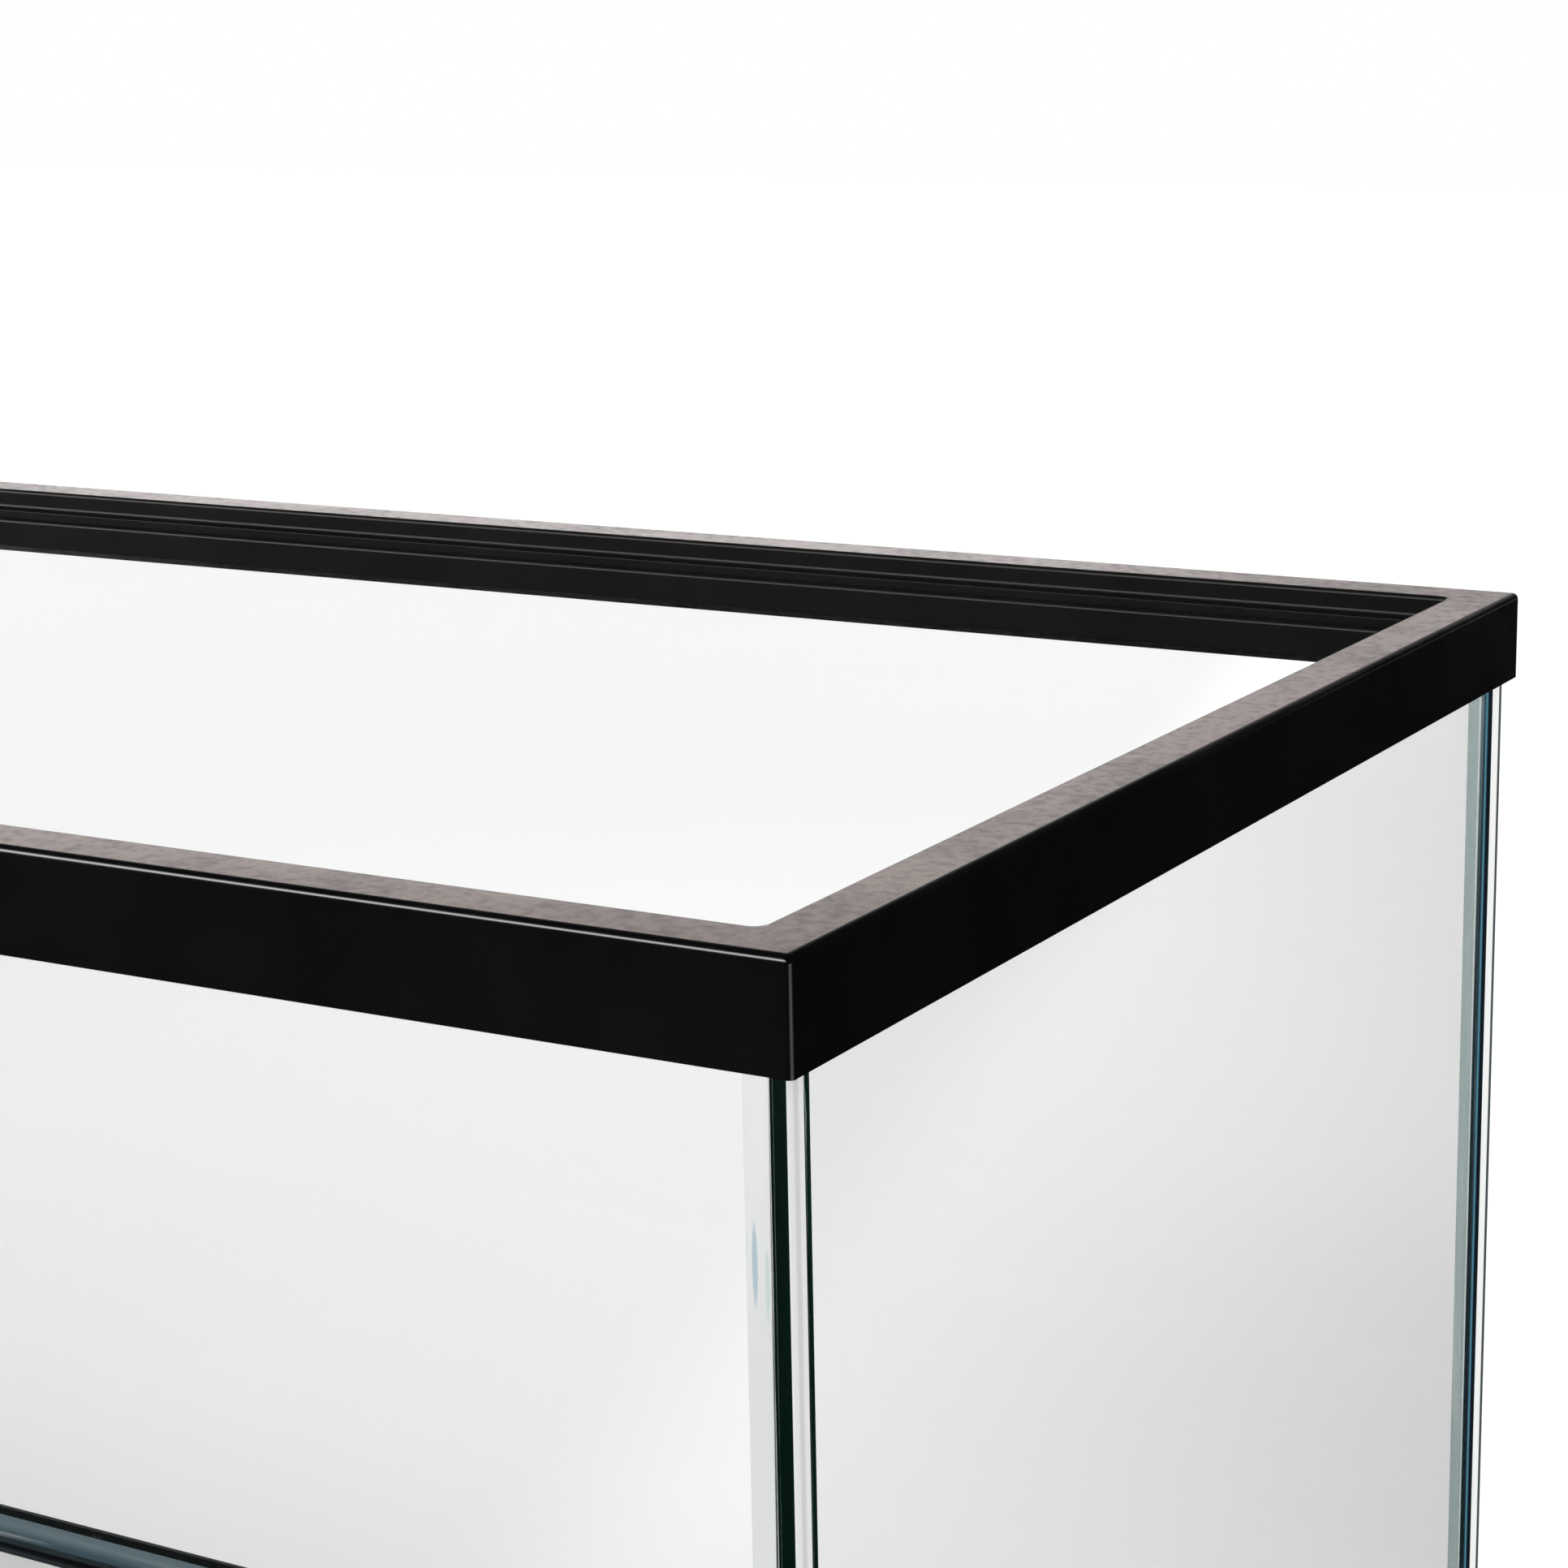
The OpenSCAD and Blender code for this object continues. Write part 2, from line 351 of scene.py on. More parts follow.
class Wiring:
    """Builds the node tree of one material or world."""

    def __init__(self, owner: bpy.types.ID) -> None:
        """Clear the owner's node tree.

        Args:
            owner: The material or world.
        """
        owner.use_nodes = True
        self.tree = owner.node_tree
        self.tree.nodes.clear()

    def add(self, kind: str, **settings: object) -> bpy.types.Node:
        """Add a node.

        Args:
            kind: The node's type name.
            settings: Attributes to set on it.

        Returns:
            The node.
        """
        node = self.tree.nodes.new(kind)
        for name, value in settings.items():
            setattr(node, name, value)
        return node

    def link(self, source: bpy.types.NodeSocket, target: bpy.types.NodeSocket) -> None:
        """Link an output to an input."""
        self.tree.links.new(source, target)

    def feed(self, target: bpy.types.NodeSocket, value: object) -> None:
        """Link or set an input.

        Args:
            target: The input.
            value: An output to link, or a plain value.
        """
        if isinstance(value, bpy.types.NodeSocket):
            self.link(value, target)
        else:
            target.default_value = value

    def place(
        self, stretch: Sequence[float] = (1.0, 1.0, 1.0), middle: Sequence[float] = (0.0, 0.0, 0.0)
    ) -> bpy.types.NodeSocket:
        """Return Object coordinates, measured from a point and stretched.

        Args:
            stretch: Factors on the coordinates.
            middle: The point.

        Returns:
            The coordinates.
        """
        coordinates = self.add("ShaderNodeTexCoord")
        mapping = self.add("ShaderNodeMapping")
        mapping.inputs["Location"].default_value = [-at * factor for at, factor in zip(middle, stretch)]
        mapping.inputs["Scale"].default_value = stretch
        self.link(coordinates.outputs["Object"], mapping.inputs["Vector"])
        return mapping.outputs["Vector"]

    def distance(
        self, middle: Sequence[float], stretch: Sequence[float] = (1.0, 1.0, 1.0)
    ) -> bpy.types.NodeSocket:
        """Return the distance from a point.

        Args:
            middle: The point, in Object coordinates.
            stretch: Factors on the coordinates.

        Returns:
            The distance.
        """
        length = self.add("ShaderNodeVectorMath", operation="LENGTH")
        self.link(self.place(stretch, middle), length.inputs[0])
        return length.outputs["Value"]

    def parts(self, vector: bpy.types.NodeSocket) -> dict[str, bpy.types.NodeSocket]:
        """Split a vector.

        Args:
            vector: The vector.

        Returns:
            Its X, Y and Z by name.
        """
        split = self.add("ShaderNodeSeparateXYZ")
        self.link(vector, split.inputs[0])
        return {output.name: output for output in split.outputs}

    def ray(self, name: str) -> bpy.types.NodeSocket:
        """Return one of the Light Path node's outputs."""
        return self.add("ShaderNodeLightPath").outputs[name]

    def first_hit(self, steps: int) -> bpy.types.NodeSocket:
        """Return 1 for rays that come straight from the surface that the camera sees.

        Args:
            steps: The Ray Depth of such a ray, which is one more at the world than at a surface.

        Returns:
            1 or 0.
        """
        return self.math("LESS_THAN", self.ray("Ray Depth"), steps + HALF_STEP)

    def straight(self) -> bpy.types.NodeSocket:
        """Tell rays that reach the camera straight or through clear glass, without a reflection.

        Returns:
            1 for such a ray, or else 0.
        """
        through = self.ray("Is Transmission Ray")
        for depth in ("Glossy Depth", "Diffuse Depth"):
            through = self.math("MULTIPLY", through, self.math("LESS_THAN", self.ray(depth), HALF_STEP))
        return self.math("MAXIMUM", self.ray("Is Camera Ray"), through)

    def mirrored(self) -> bpy.types.NodeSocket:
        """Tell rays that a glossy surface reflected, on their way from the camera.

        Returns:
            1 for such a ray, or else 0.
        """
        shiny = self.math("GREATER_THAN", self.ray("Glossy Depth"), HALF_STEP)
        return self.math("MULTIPLY", shiny, self.math("LESS_THAN", self.ray("Diffuse Depth"), HALF_STEP))

    def along(self, parts: dict[str, bpy.types.NodeSocket], way: Sequence[float]) -> bpy.types.NodeSocket:
        """Return how far a place or direction lies along a level way.

        Args:
            parts: Its X, Y and Z.
            way: The way's X and Y.

        Returns:
            The distance.
        """
        across, deep = (self.math("MULTIPLY", parts[axis], share) for axis, share in zip("XY", way))
        return self.math("ADD", across, deep)

    def noise(self, grain: Grain) -> bpy.types.NodeSocket:
        """Add a noise pattern on Object coordinates.

        Args:
            grain: The pattern.

        Returns:
            Its value, from 0 to 1 around 0.5.
        """
        node = self.add("ShaderNodeTexNoise")
        for name in ("scale", "detail", "roughness"):
            node.inputs[name.title()].default_value = getattr(grain, name)
        self.link(self.place(grain.stretch), node.inputs["Vector"])
        return node.outputs["Fac"]

    def ramp(
        self, value: object, low: float, high: float, start: object = 0.0, end: object = 1.0
    ) -> bpy.types.NodeSocket:
        """Map a value smoothly from one range to another.

        Args:
            value: The value.
            low: Where the ramp starts.
            high: Where it ends.
            start: Result at low.
            end: Result at high.

        Returns:
            The mapped value, held at its ends.
        """
        node = self.add("ShaderNodeMapRange", interpolation_type="SMOOTHSTEP")
        names = ("Value", "From Min", "From Max", "To Min", "To Max")
        for name, given in zip(names, (value, low, high, start, end)):
            self.feed(node.inputs[name], given)
        return node.outputs["Result"]

    def between(self, share: object, start: object, end: object) -> bpy.types.NodeSocket:
        """Go smoothly from one value to another as a share goes from 0 to 1."""
        return self.ramp(share, 0.0, 1.0, start, end)

    def math(self, operation: str, *values: object) -> bpy.types.NodeSocket:
        """Add a Math node.

        Args:
            operation: Its operation.
            values: Its inputs.

        Returns:
            Its result.
        """
        node = self.add("ShaderNodeMath", operation=operation)
        for target, value in zip(node.inputs, values):
            self.feed(target, value)
        return node.outputs["Value"]

    def product(self, first: object, *others: object) -> object:
        """Multiply values.

        Args:
            first: The first value.
            others: The other values.

        Returns:
            The product.
        """
        for value in others:
            first = self.math("MULTIPLY", first, value)
        return first

    def blend(self, factor: object, first: object, second: object) -> bpy.types.NodeSocket:
        """Mix two colours.

        Args:
            factor: Share of the second colour.
            first: The first colour.
            second: The second colour.

        Returns:
            The mixed colour.
        """
        node = self.add("ShaderNodeMix", data_type="RGBA")
        for number, value in zip((0, *MIX_COLOURS), (factor, first, second)):
            self.feed(node.inputs[number], value)
        return node.outputs[MIX_RESULT]

    def bump(self, height: bpy.types.NodeSocket, depth: float, strength: float) -> bpy.types.NodeSocket:
        """Turn a pattern into a bumped normal.

        Args:
            height: The pattern.
            depth: Height of the bumps, in metres.
            strength: Strength from 0 to 1.

        Returns:
            The normal.
        """
        node = self.add("ShaderNodeBump")
        node.inputs["Strength"].default_value = strength
        node.inputs["Distance"].default_value = depth
        self.link(height, node.inputs["Height"])
        return node.outputs["Normal"]

    def principled(self, **values: object) -> bpy.types.Node:
        """Add a Principled shader.

        Args:
            values: Input names, with underscores for spaces, and what feeds them.

        Returns:
            The node.
        """
        node = self.add("ShaderNodeBsdfPrincipled")
        for name, value in values.items():
            self.feed(node.inputs[name.replace("_", " ")], value)
        return node

    def mixed(self, factor: object, first: bpy.types.Node, second: bpy.types.Node) -> bpy.types.Node:
        """Mix two shaders.

        Args:
            factor: Share of the second shader.
            first: The first shader.
            second: The second shader.

        Returns:
            The Mix Shader node.
        """
        node = self.add("ShaderNodeMixShader")
        self.feed(node.inputs[0], factor)
        self.link(first.outputs[0], node.inputs[1])
        self.link(second.outputs[0], node.inputs[2])
        return node

    def lit_through(self, clear: bpy.types.Node, shade: Colour) -> bpy.types.Node:
        """Let lamps shine through a clear shader, with a faint shadow.

        Args:
            clear: The shader.
            shade: What the shadow's light is multiplied by.

        Returns:
            The Mix Shader node.
        """
        lamps = self.add("ShaderNodeBsdfTransparent")
        lamps.inputs["Color"].default_value = shade
        return self.mixed(self.ray("Is Shadow Ray"), clear, lamps)

    def emission(self, strength: bpy.types.NodeSocket) -> bpy.types.Node:
        """Add a white glow.

        Args:
            strength: Its strength.

        Returns:
            The node.
        """
        node = self.add("ShaderNodeEmission")
        self.link(strength, node.inputs["Strength"])
        return node

    def output(self, surface: bpy.types.Node, volume: Optional[bpy.types.Node] = None) -> None:
        """Close the tree with a material output.

        Args:
            surface: The surface shader.
            volume: The volume shader, if any.
        """
        out = self.add("ShaderNodeOutputMaterial")
        self.link(surface.outputs[0], out.inputs["Surface"])
        if volume is not None:
            self.link(volume.outputs[0], out.inputs["Volume"])


@dataclass(frozen=True)
class Finish:
    """What every finish shares: a name, and a material that is built from its values."""

    name: str

    def material(self) -> bpy.types.Material:
        """Build the material.

        Returns:
            The material.
        """
        made = bpy.data.materials.new(self.name)
        self.wire(Wiring(made))
        return made

    def wire(self, wires: Wiring) -> None:
        """Wire the material's nodes, which each finish does in its own way."""
        raise NotImplementedError


@dataclass(frozen=True)
class BlackMoulding(Finish):
    """Black moulded plastic: glossy sides, and a matte, mottled film of dust on what faces up."""

    name: str = "black_moulding"
    black: Colour = (0.0030, 0.0026, 0.0030, 1.0)
    worn: Colour = (0.0046, 0.0038, 0.0041, 1.0)
    dust: Colour = (0.132, 0.066, 0.043, 1.0)
    dusty: float = 1.0
    gloss: tuple[float, float] = (0.16, 0.22)
    matte: tuple[float, float] = (0.40, 0.31)
    shine: float = 0.5
    blotches: Grain = Grain(420.0, 3.5, 0.6)
    specks: Grain = Grain(2000.0)
    patches: Grain = Grain(38.0, 4.0, 0.6)
    level: tuple[float, float] = (0.994, 0.999)
    blotched: Span = Span(0.28, 0.66, 0.50)
    speckled: Span = Span(0.28, 0.55, 0.68)
    patched: Span = Span(0.36, 0.58, 0.74, 1.06)
    rubbed: Span = Span(0.36, 0.58, 0.8)
    worn_patches: Span = Span(0.35, 0.7)
    gloss_patches: tuple[float, float] = (0.3, 0.7)
    matte_patches: tuple[float, float] = (0.35, 0.9)
    bumps: Bumps = Bumps(0.01 * MM, 0.25)

    def wire(self, wires: Wiring) -> None:
        """Wire the plastic's nodes.

        Args:
            wires: The material's node tree.
        """
        blotches, specks, patches = map(wires.noise, (self.blotches, self.specks, self.patches))
        normal = wires.parts(wires.add("ShaderNodeNewGeometry").outputs["True Normal"])
        upward = wires.ramp(normal["Z"], *self.level, 0.0, self.dusty)
        stains = wires.ramp(blotches, *self.blotched)
        film = wires.product(stains, wires.ramp(specks, *self.speckled), wires.ramp(patches, *self.patched))
        plain = wires.blend(wires.ramp(patches, *self.worn_patches), self.black, self.worn)
        glossy = wires.ramp(patches, *self.gloss_patches, *self.gloss)
        worn_off = wires.product(stains, wires.ramp(patches, *self.rubbed))
        matte = wires.ramp(worn_off, *self.matte_patches, *self.matte)
        wires.output(
            wires.principled(
                Base_Color=wires.blend(wires.product(upward, film), plain, self.dust),
                Roughness=wires.between(upward, glossy, matte), Normal=wires.bump(specks, *self.bumps),
                IOR=PLASTIC_IOR, Specular_IOR_Level=self.shine,
            )
        )


@dataclass(frozen=True)
class ShadedMoulding(BlackMoulding):
    """A shaded copy of the same plastic, as painted shade inside the opening, just off the flat top and low
    on the tank: no dust, a lighter black and its reflections turned down.
    """

    name: str = "shaded_black_moulding"
    black: Colour = (0.0070, 0.0058, 0.0064, 1.0)
    worn: Colour = (0.0078, 0.0066, 0.0072, 1.0)
    dusty: float = 0.0
    gloss: tuple[float, float] = (0.34, 0.38)
    shine: float = 0.15


@dataclass(frozen=True)
class ClearGlass(Finish):
    """Clear soda-lime float glass with a green cast in its depth, and faint smears on its faces."""

    name: str = "clear_glass"
    cast: Colour = (0.42, 0.66, 0.38, 1.0)
    depth: float = 2.4
    tint: Colour = (0.998, 0.998, 0.997, 1.0)
    shade: Colour = (0.955, 0.965, 0.955, 1.0)
    smears: Grain = Grain(9.0, 3.0, 0.55, (1.0, 1.0, 2.2))
    smeared: Span = Span(0.55, 0.85, 0.0, 0.006)
    waves: Grain = Grain(9.0, 0.0)
    bumps: Bumps = Bumps(0.01 * MM, 0.1)

    def wire(self, wires: Wiring) -> None:
        """Wire the glass's nodes.

        Args:
            wires: The material's node tree.
        """
        smears, waves = map(wires.noise, (self.smears, self.waves))
        glass = wires.principled(
            Base_Color=self.tint, Roughness=wires.ramp(smears, *self.smeared),
            Normal=wires.bump(waves, *self.bumps), IOR=GLASS_IOR, Transmission_Weight=1.0,
        )
        depth = wires.add("ShaderNodeVolumeAbsorption")
        depth.inputs["Color"].default_value = self.cast
        depth.inputs["Density"].default_value = self.depth
        wires.output(wires.lit_through(glass, self.shade), depth)


@dataclass(frozen=True)
class DeepEdge(Finish):
    """A cut edge painted to glow dark green, standing in for the light that reaches it along the whole
    length of its pane.
    """

    name: str = "deep_green_edge"
    dark: Colour = (0.0003, 0.0080, 0.0046, 1.0)
    light: Colour = (0.0010, 0.0140, 0.0085, 1.0)
    streaks: Grain = Grain(500.0, 2.0, 0.5, (1.0, 1.0, 0.03))
    streaked: Span = Span(0.35, 0.75)
    nicks: Grain = Grain(900.0, 3.0, 0.6)
    nicked: Span = Span(0.3, 0.7, 0.35, 0.5)
    bumps: Bumps = Bumps(0.01 * MM, 0.2)
    dimness: float = 0.5
    shine: float = 0.1
    # Painted light: the edge's colour is sent out as this glow
    painted_glow: float = 0.8

    def colour(self, wires: Wiring) -> bpy.types.NodeSocket:
        """Return the colour of the cut, with streaks along it."""
        streaks = wires.ramp(wires.noise(self.streaks), *self.streaked)
        return wires.blend(streaks, self.dark, self.light)

    def wire(self, wires: Wiring) -> None:
        """Wire the cut edge's nodes.

        Args:
            wires: The material's node tree.
        """
        nicks, colour = wires.noise(self.nicks), self.colour(wires)
        wires.output(
            wires.principled(
                Base_Color=wires.blend(self.dimness, colour, BLACK),
                Roughness=wires.ramp(nicks, *self.nicked), Normal=wires.bump(nicks, *self.bumps),
                Specular_IOR_Level=self.shine, Emission_Color=colour, Emission_Strength=self.painted_glow,
            )
        )


@dataclass(frozen=True)
class BandedEdge(DeepEdge):
    """A cut edge with painted light and shade across it: painted blue light at the pane's inner face, and
    painted dark shade beyond.
    """

    name: str = "deep_banded_edge"
    painted_blue_light: Colour = (0.10, 0.29, 0.40, 1.0)
    painted_dark_shade: Colour = (0.004, 0.010, 0.016, 1.0)
    places: tuple[float, float] = (0.0, 0.26)

    def colour(self, wires: Wiring) -> bpy.types.NodeSocket:
        """Return the colour of the cut, with bands of painted light and shade across it.

        Args:
            wires: The material's node tree.

        Returns:
            The colour.
        """
        across = wires.math("ABSOLUTE", wires.parts(wires.place())["X"])
        share = wires.ramp(across, TANK.inner_end, TANK.glass_end)
        return wires.blend(wires.ramp(share, *self.places), self.painted_blue_light, self.painted_dark_shade)


@dataclass(frozen=True)
class SeamedEdge(Finish):
    """The open end of a long pane: pale ground seams on both arrises and a stripe of cut glass, lit by a
    painted glow, with a painted shadow line along the rear arris when its width is above 0.
    """

    middle: float
    ground: Colour = (0.82, 0.83, 0.82, 1.0)
    stripe: Colour = (0.65, 0.67, 0.65, 1.0)
    half_stripe: float = 0.75 * MM
    stripe_blur: float = 0.4 * MM
    # Painted shadow: a dark line along the arris on the pane's +Y side, which is the rear pane's outer face
    line: Colour = (0.060, 0.078, 0.090, 1.0)
    shadow_line_width: float = 0.0
    shadow_line_blur: float = 0.1 * MM
    # Painted light: the end glows this much
    painted_glow: float = 0.28
    wander: Grain = Grain(30.0, 3.0, 0.5, (1.0, 1.0, 0.4))
    wandering: Span = Span(0.3, 0.7, -0.12 * MM, 0.12 * MM)
    grit: Grain = Grain(2600.0, 3.0, 0.7)
    gritty: Span = Span(0.3, 0.7, 0.35, 0.6)
    bumps: Bumps = Bumps(0.02 * MM, 0.2)

    def wire(self, wires: Wiring) -> None:
        """Wire the seamed edge's nodes.

        Args:
            wires: The material's node tree.
        """
        offset = wires.math("SUBTRACT", wires.parts(wires.place())["Y"], self.middle)
        offset = wires.math("ADD", offset, wires.ramp(wires.noise(self.wander), *self.wandering))
        seam = wires.ramp(wires.math("ABSOLUTE", offset), *around(self.half_stripe, self.stripe_blur))
        colour = wires.blend(seam, self.stripe, self.ground)
        # Painted shadow line along the rear arris
        if self.shadow_line_width > 0.0:
            edge = wires.ramp(offset, *around(TANK.wall / 2 - self.shadow_line_width, self.shadow_line_blur))
            colour = wires.blend(edge, colour, self.line)
        grit = wires.noise(self.grit)
        wires.output(
            wires.principled(
                Base_Color=colour, Roughness=wires.ramp(grit, *self.gritty),
                Normal=wires.bump(grit, *self.bumps), IOR=GLASS_IOR,
                Emission_Color=colour, Emission_Strength=self.painted_glow,
            )
        )


class Run(Enum):
    """Which way silicone runs, as a stretch of the grain that nozzle and tool leave in it."""

    ALONG = (0.04, 1.0, 1.0)
    ACROSS = (1.0, 0.04, 1.0)
    UPRIGHT = (1.0, 1.0, 0.04)


@dataclass(frozen=True)
class Smear:
    """A small ragged spot of colour in the silicone."""

    middle: tuple[float, float, float]
    reach: tuple[float, float, float]
    colour: Colour
    clearness: float
    raggedness: float = 0.9
    fade: Span = Span(0.45, 1.0, 1.0, 0.0)

    def share(self, wires: Wiring, drag: bpy.types.NodeSocket) -> bpy.types.NodeSocket:
        """Return the smear's share of the colour.

        Args:
            wires: The material's node tree.
            drag: The pattern that makes its rim ragged.

        Returns:
            1 in its middle and 0 outside it.
        """
        ragged = wires.product(wires.math("SUBTRACT", drag, NOISE_MIDDLE), self.raggedness)
        away = wires.distance(self.middle, [1.0 / reach for reach in self.reach])
        return wires.ramp(wires.math("ADD", away, ragged), *self.fade)


@dataclass(frozen=True)
class Silicone(Finish):
    """Clear silicone, a little milky, with a tooled skin."""

    run: Run = Run.UPRIGHT
    tint: Colour = (0.95, 0.97, 0.96, 1.0)
    shade: Colour = (0.84, 0.88, 0.87, 1.0)
    clearness: float = 0.97
    gloss: tuple[float, float] = (0.03, 0.10)
    ripple: float = 0.12
    ripple_depth: float = 0.10 * MM
    drag: Grain = Grain(420.0, 3.0, 0.55)
    dragged: Span = Span(0.48, 0.72, 0.0, 0.45)
    drag_colour: Colour = (0.80, 0.82, 0.82, 1.0)
    lumps: Grain = Grain(40.0)
    lump_roundness: float = 0.3
    lumpy: tuple[float, float] = (0.3, 0.7)
    # Painted light: a blue band right beside the end pane, then a pale band, where the reaches are above 0
    painted_pale_light: Colour = (0.92, 0.93, 0.90, 1.0)
    pale_reach: float = 0.0
    pale_blur: float = 0.3 * MM
    painted_blue_light: Colour = (0.36, 0.66, 0.80, 1.0)
    blue_reach: float = 0.0
    blue_blur: float = 0.2 * MM
    # Painted shade: the bead darker towards its foot on the base pane, if this is given
    painted_foot_shade: Optional[Colour] = None
    foot_height: tuple[float, float] = (0.1 * MM, 2.6 * MM)
    smears: tuple[Smear, ...] = ()

    def body(self, wires: Wiring) -> object:
        """Return the colour under the drag marks, with bands of painted light beside the end panes and
        painted shade at the foot, if the bead has them.

        Args:
            wires: The material's node tree.

        Returns:
            The colour.
        """
        colour: object = self.tint
        if self.pale_reach > 0.0:
            across = wires.math("ABSOLUTE", wires.parts(wires.place())["X"])
            from_pane = wires.math("SUBTRACT", TANK.inner_end, across)
            painted_pale_light = wires.ramp(from_pane, *around(self.pale_reach, self.pale_blur), 1.0, 0.0)
            painted_blue_light = wires.ramp(from_pane, *around(self.blue_reach, self.blue_blur), 1.0, 0.0)
            colour = wires.blend(painted_blue_light, wires.blend(painted_pale_light, self.tint, self.painted_pale_light), self.painted_blue_light)
        if self.painted_foot_shade is not None:
            height = wires.math("SUBTRACT", wires.parts(wires.place())["Z"], TANK.base_top)
            colour = wires.blend(wires.ramp(height, *self.foot_height), self.painted_foot_shade, colour)
        return colour

    def wire(self, wires: Wiring) -> None:
        """Wire the silicone's nodes.

        Args:
            wires: The material's node tree.
        """
        drag = wires.noise(self.drag._replace(stretch=self.run.value))
        least = self.lump_roundness
        rounded = tuple(least + (1.0 - least) * share for share in self.run.value)
        lumps = wires.noise(self.lumps._replace(stretch=rounded))
        colour = wires.blend(wires.ramp(drag, *self.dragged), self.body(wires), self.drag_colour)
        clearness: object = self.clearness
        for smear in self.smears:
            share = smear.share(wires, drag)
            colour = wires.blend(share, colour, smear.colour)
            clearness = wires.between(share, clearness, smear.clearness)
        skin = wires.principled(
            Base_Color=colour, Roughness=wires.ramp(lumps, *self.lumpy, *self.gloss),
            Normal=wires.bump(wires.math("ADD", drag, lumps), self.ripple_depth, self.ripple),
            IOR=SILICONE_IOR, Transmission_Weight=clearness,
        )
        wires.output(wires.lit_through(skin, self.shade))


@dataclass(frozen=True)
class BondEnd(Finish):
    """The open end of an upright bond line, painted dark green as the cut edge behind the clear silicone
    would show through it, with a light thread as a painted glint.
    """

    name: str = "dark_bond_end"
    dark: Colour = (0.0040, 0.0110, 0.0090, 1.0)
    light: Colour = (0.0240, 0.0400, 0.0330, 1.0)
    stretches: Grain = Grain(30.0, 1.0)
    stretched: Span = Span(0.46, 0.56)
    # Painted highlight: a thin light glint line, strongest near the top
    painted_glint: Colour = (0.26, 0.32, 0.29, 1.0)
    thread_width: Span = Span(0.10 * MM, 0.25 * MM, 1.0, 0.0)
    thread_height: Span = Span(286 * MM, 298 * MM, 0.12)
    wander: Grain = Grain(120.0, 3.0)
    wandering: Span = Span(0.3, 0.7, -0.25 * MM, 0.25 * MM)
    nicks: Grain = Grain(900.0, 4.0, 0.7)
    nicked: Span = Span(0.3, 0.7, 0.12, 0.3)
    bumps: Bumps = Bumps(0.03 * MM, 0.3)

    def wire(self, wires: Wiring) -> None:
        """Wire the bond end's nodes.

        Args:
            wires: The material's node tree.
        """
        place = wires.parts(wires.place())
        middle = (abs(TANK.inner_front) - abs(TANK.inner_back)) / 2
        seam = TANK.inner_back + middle - TANK.joint / 2
        depth = wires.math("SUBTRACT", wires.math("ABSOLUTE", wires.math("ADD", place["Y"], middle)), seam)
        wander = wires.ramp(wires.noise(self.wander), *self.wandering)
        painted_glint = wires.ramp(wires.math("ABSOLUTE", wires.math("ADD", depth, wander)), *self.thread_width)
        painted_glint = wires.product(wires.ramp(place["Z"], *self.thread_height), painted_glint)
        stretches = wires.ramp(wires.noise(self.stretches), *self.stretched)
        nicks = wires.noise(self.nicks)
        wires.output(
            wires.principled(
                Base_Color=wires.blend(painted_glint, wires.blend(stretches, self.dark, self.light), self.painted_glint),
                Roughness=wires.ramp(nicks, *self.nicked), Normal=wires.bump(nicks, *self.bumps),
                IOR=SILICONE_IOR,
            )
        )


class Skirt(Enum):
    """The four sides of a moulding's skirt: unit step along the side, and outward direction."""

    FRONT = ((1, 0), (0, -1))
    BACK = ((-1, 0), (0, 1))
    LEFT = ((0, -1), (-1, 0))
    RIGHT = ((0, 1), (1, 0))


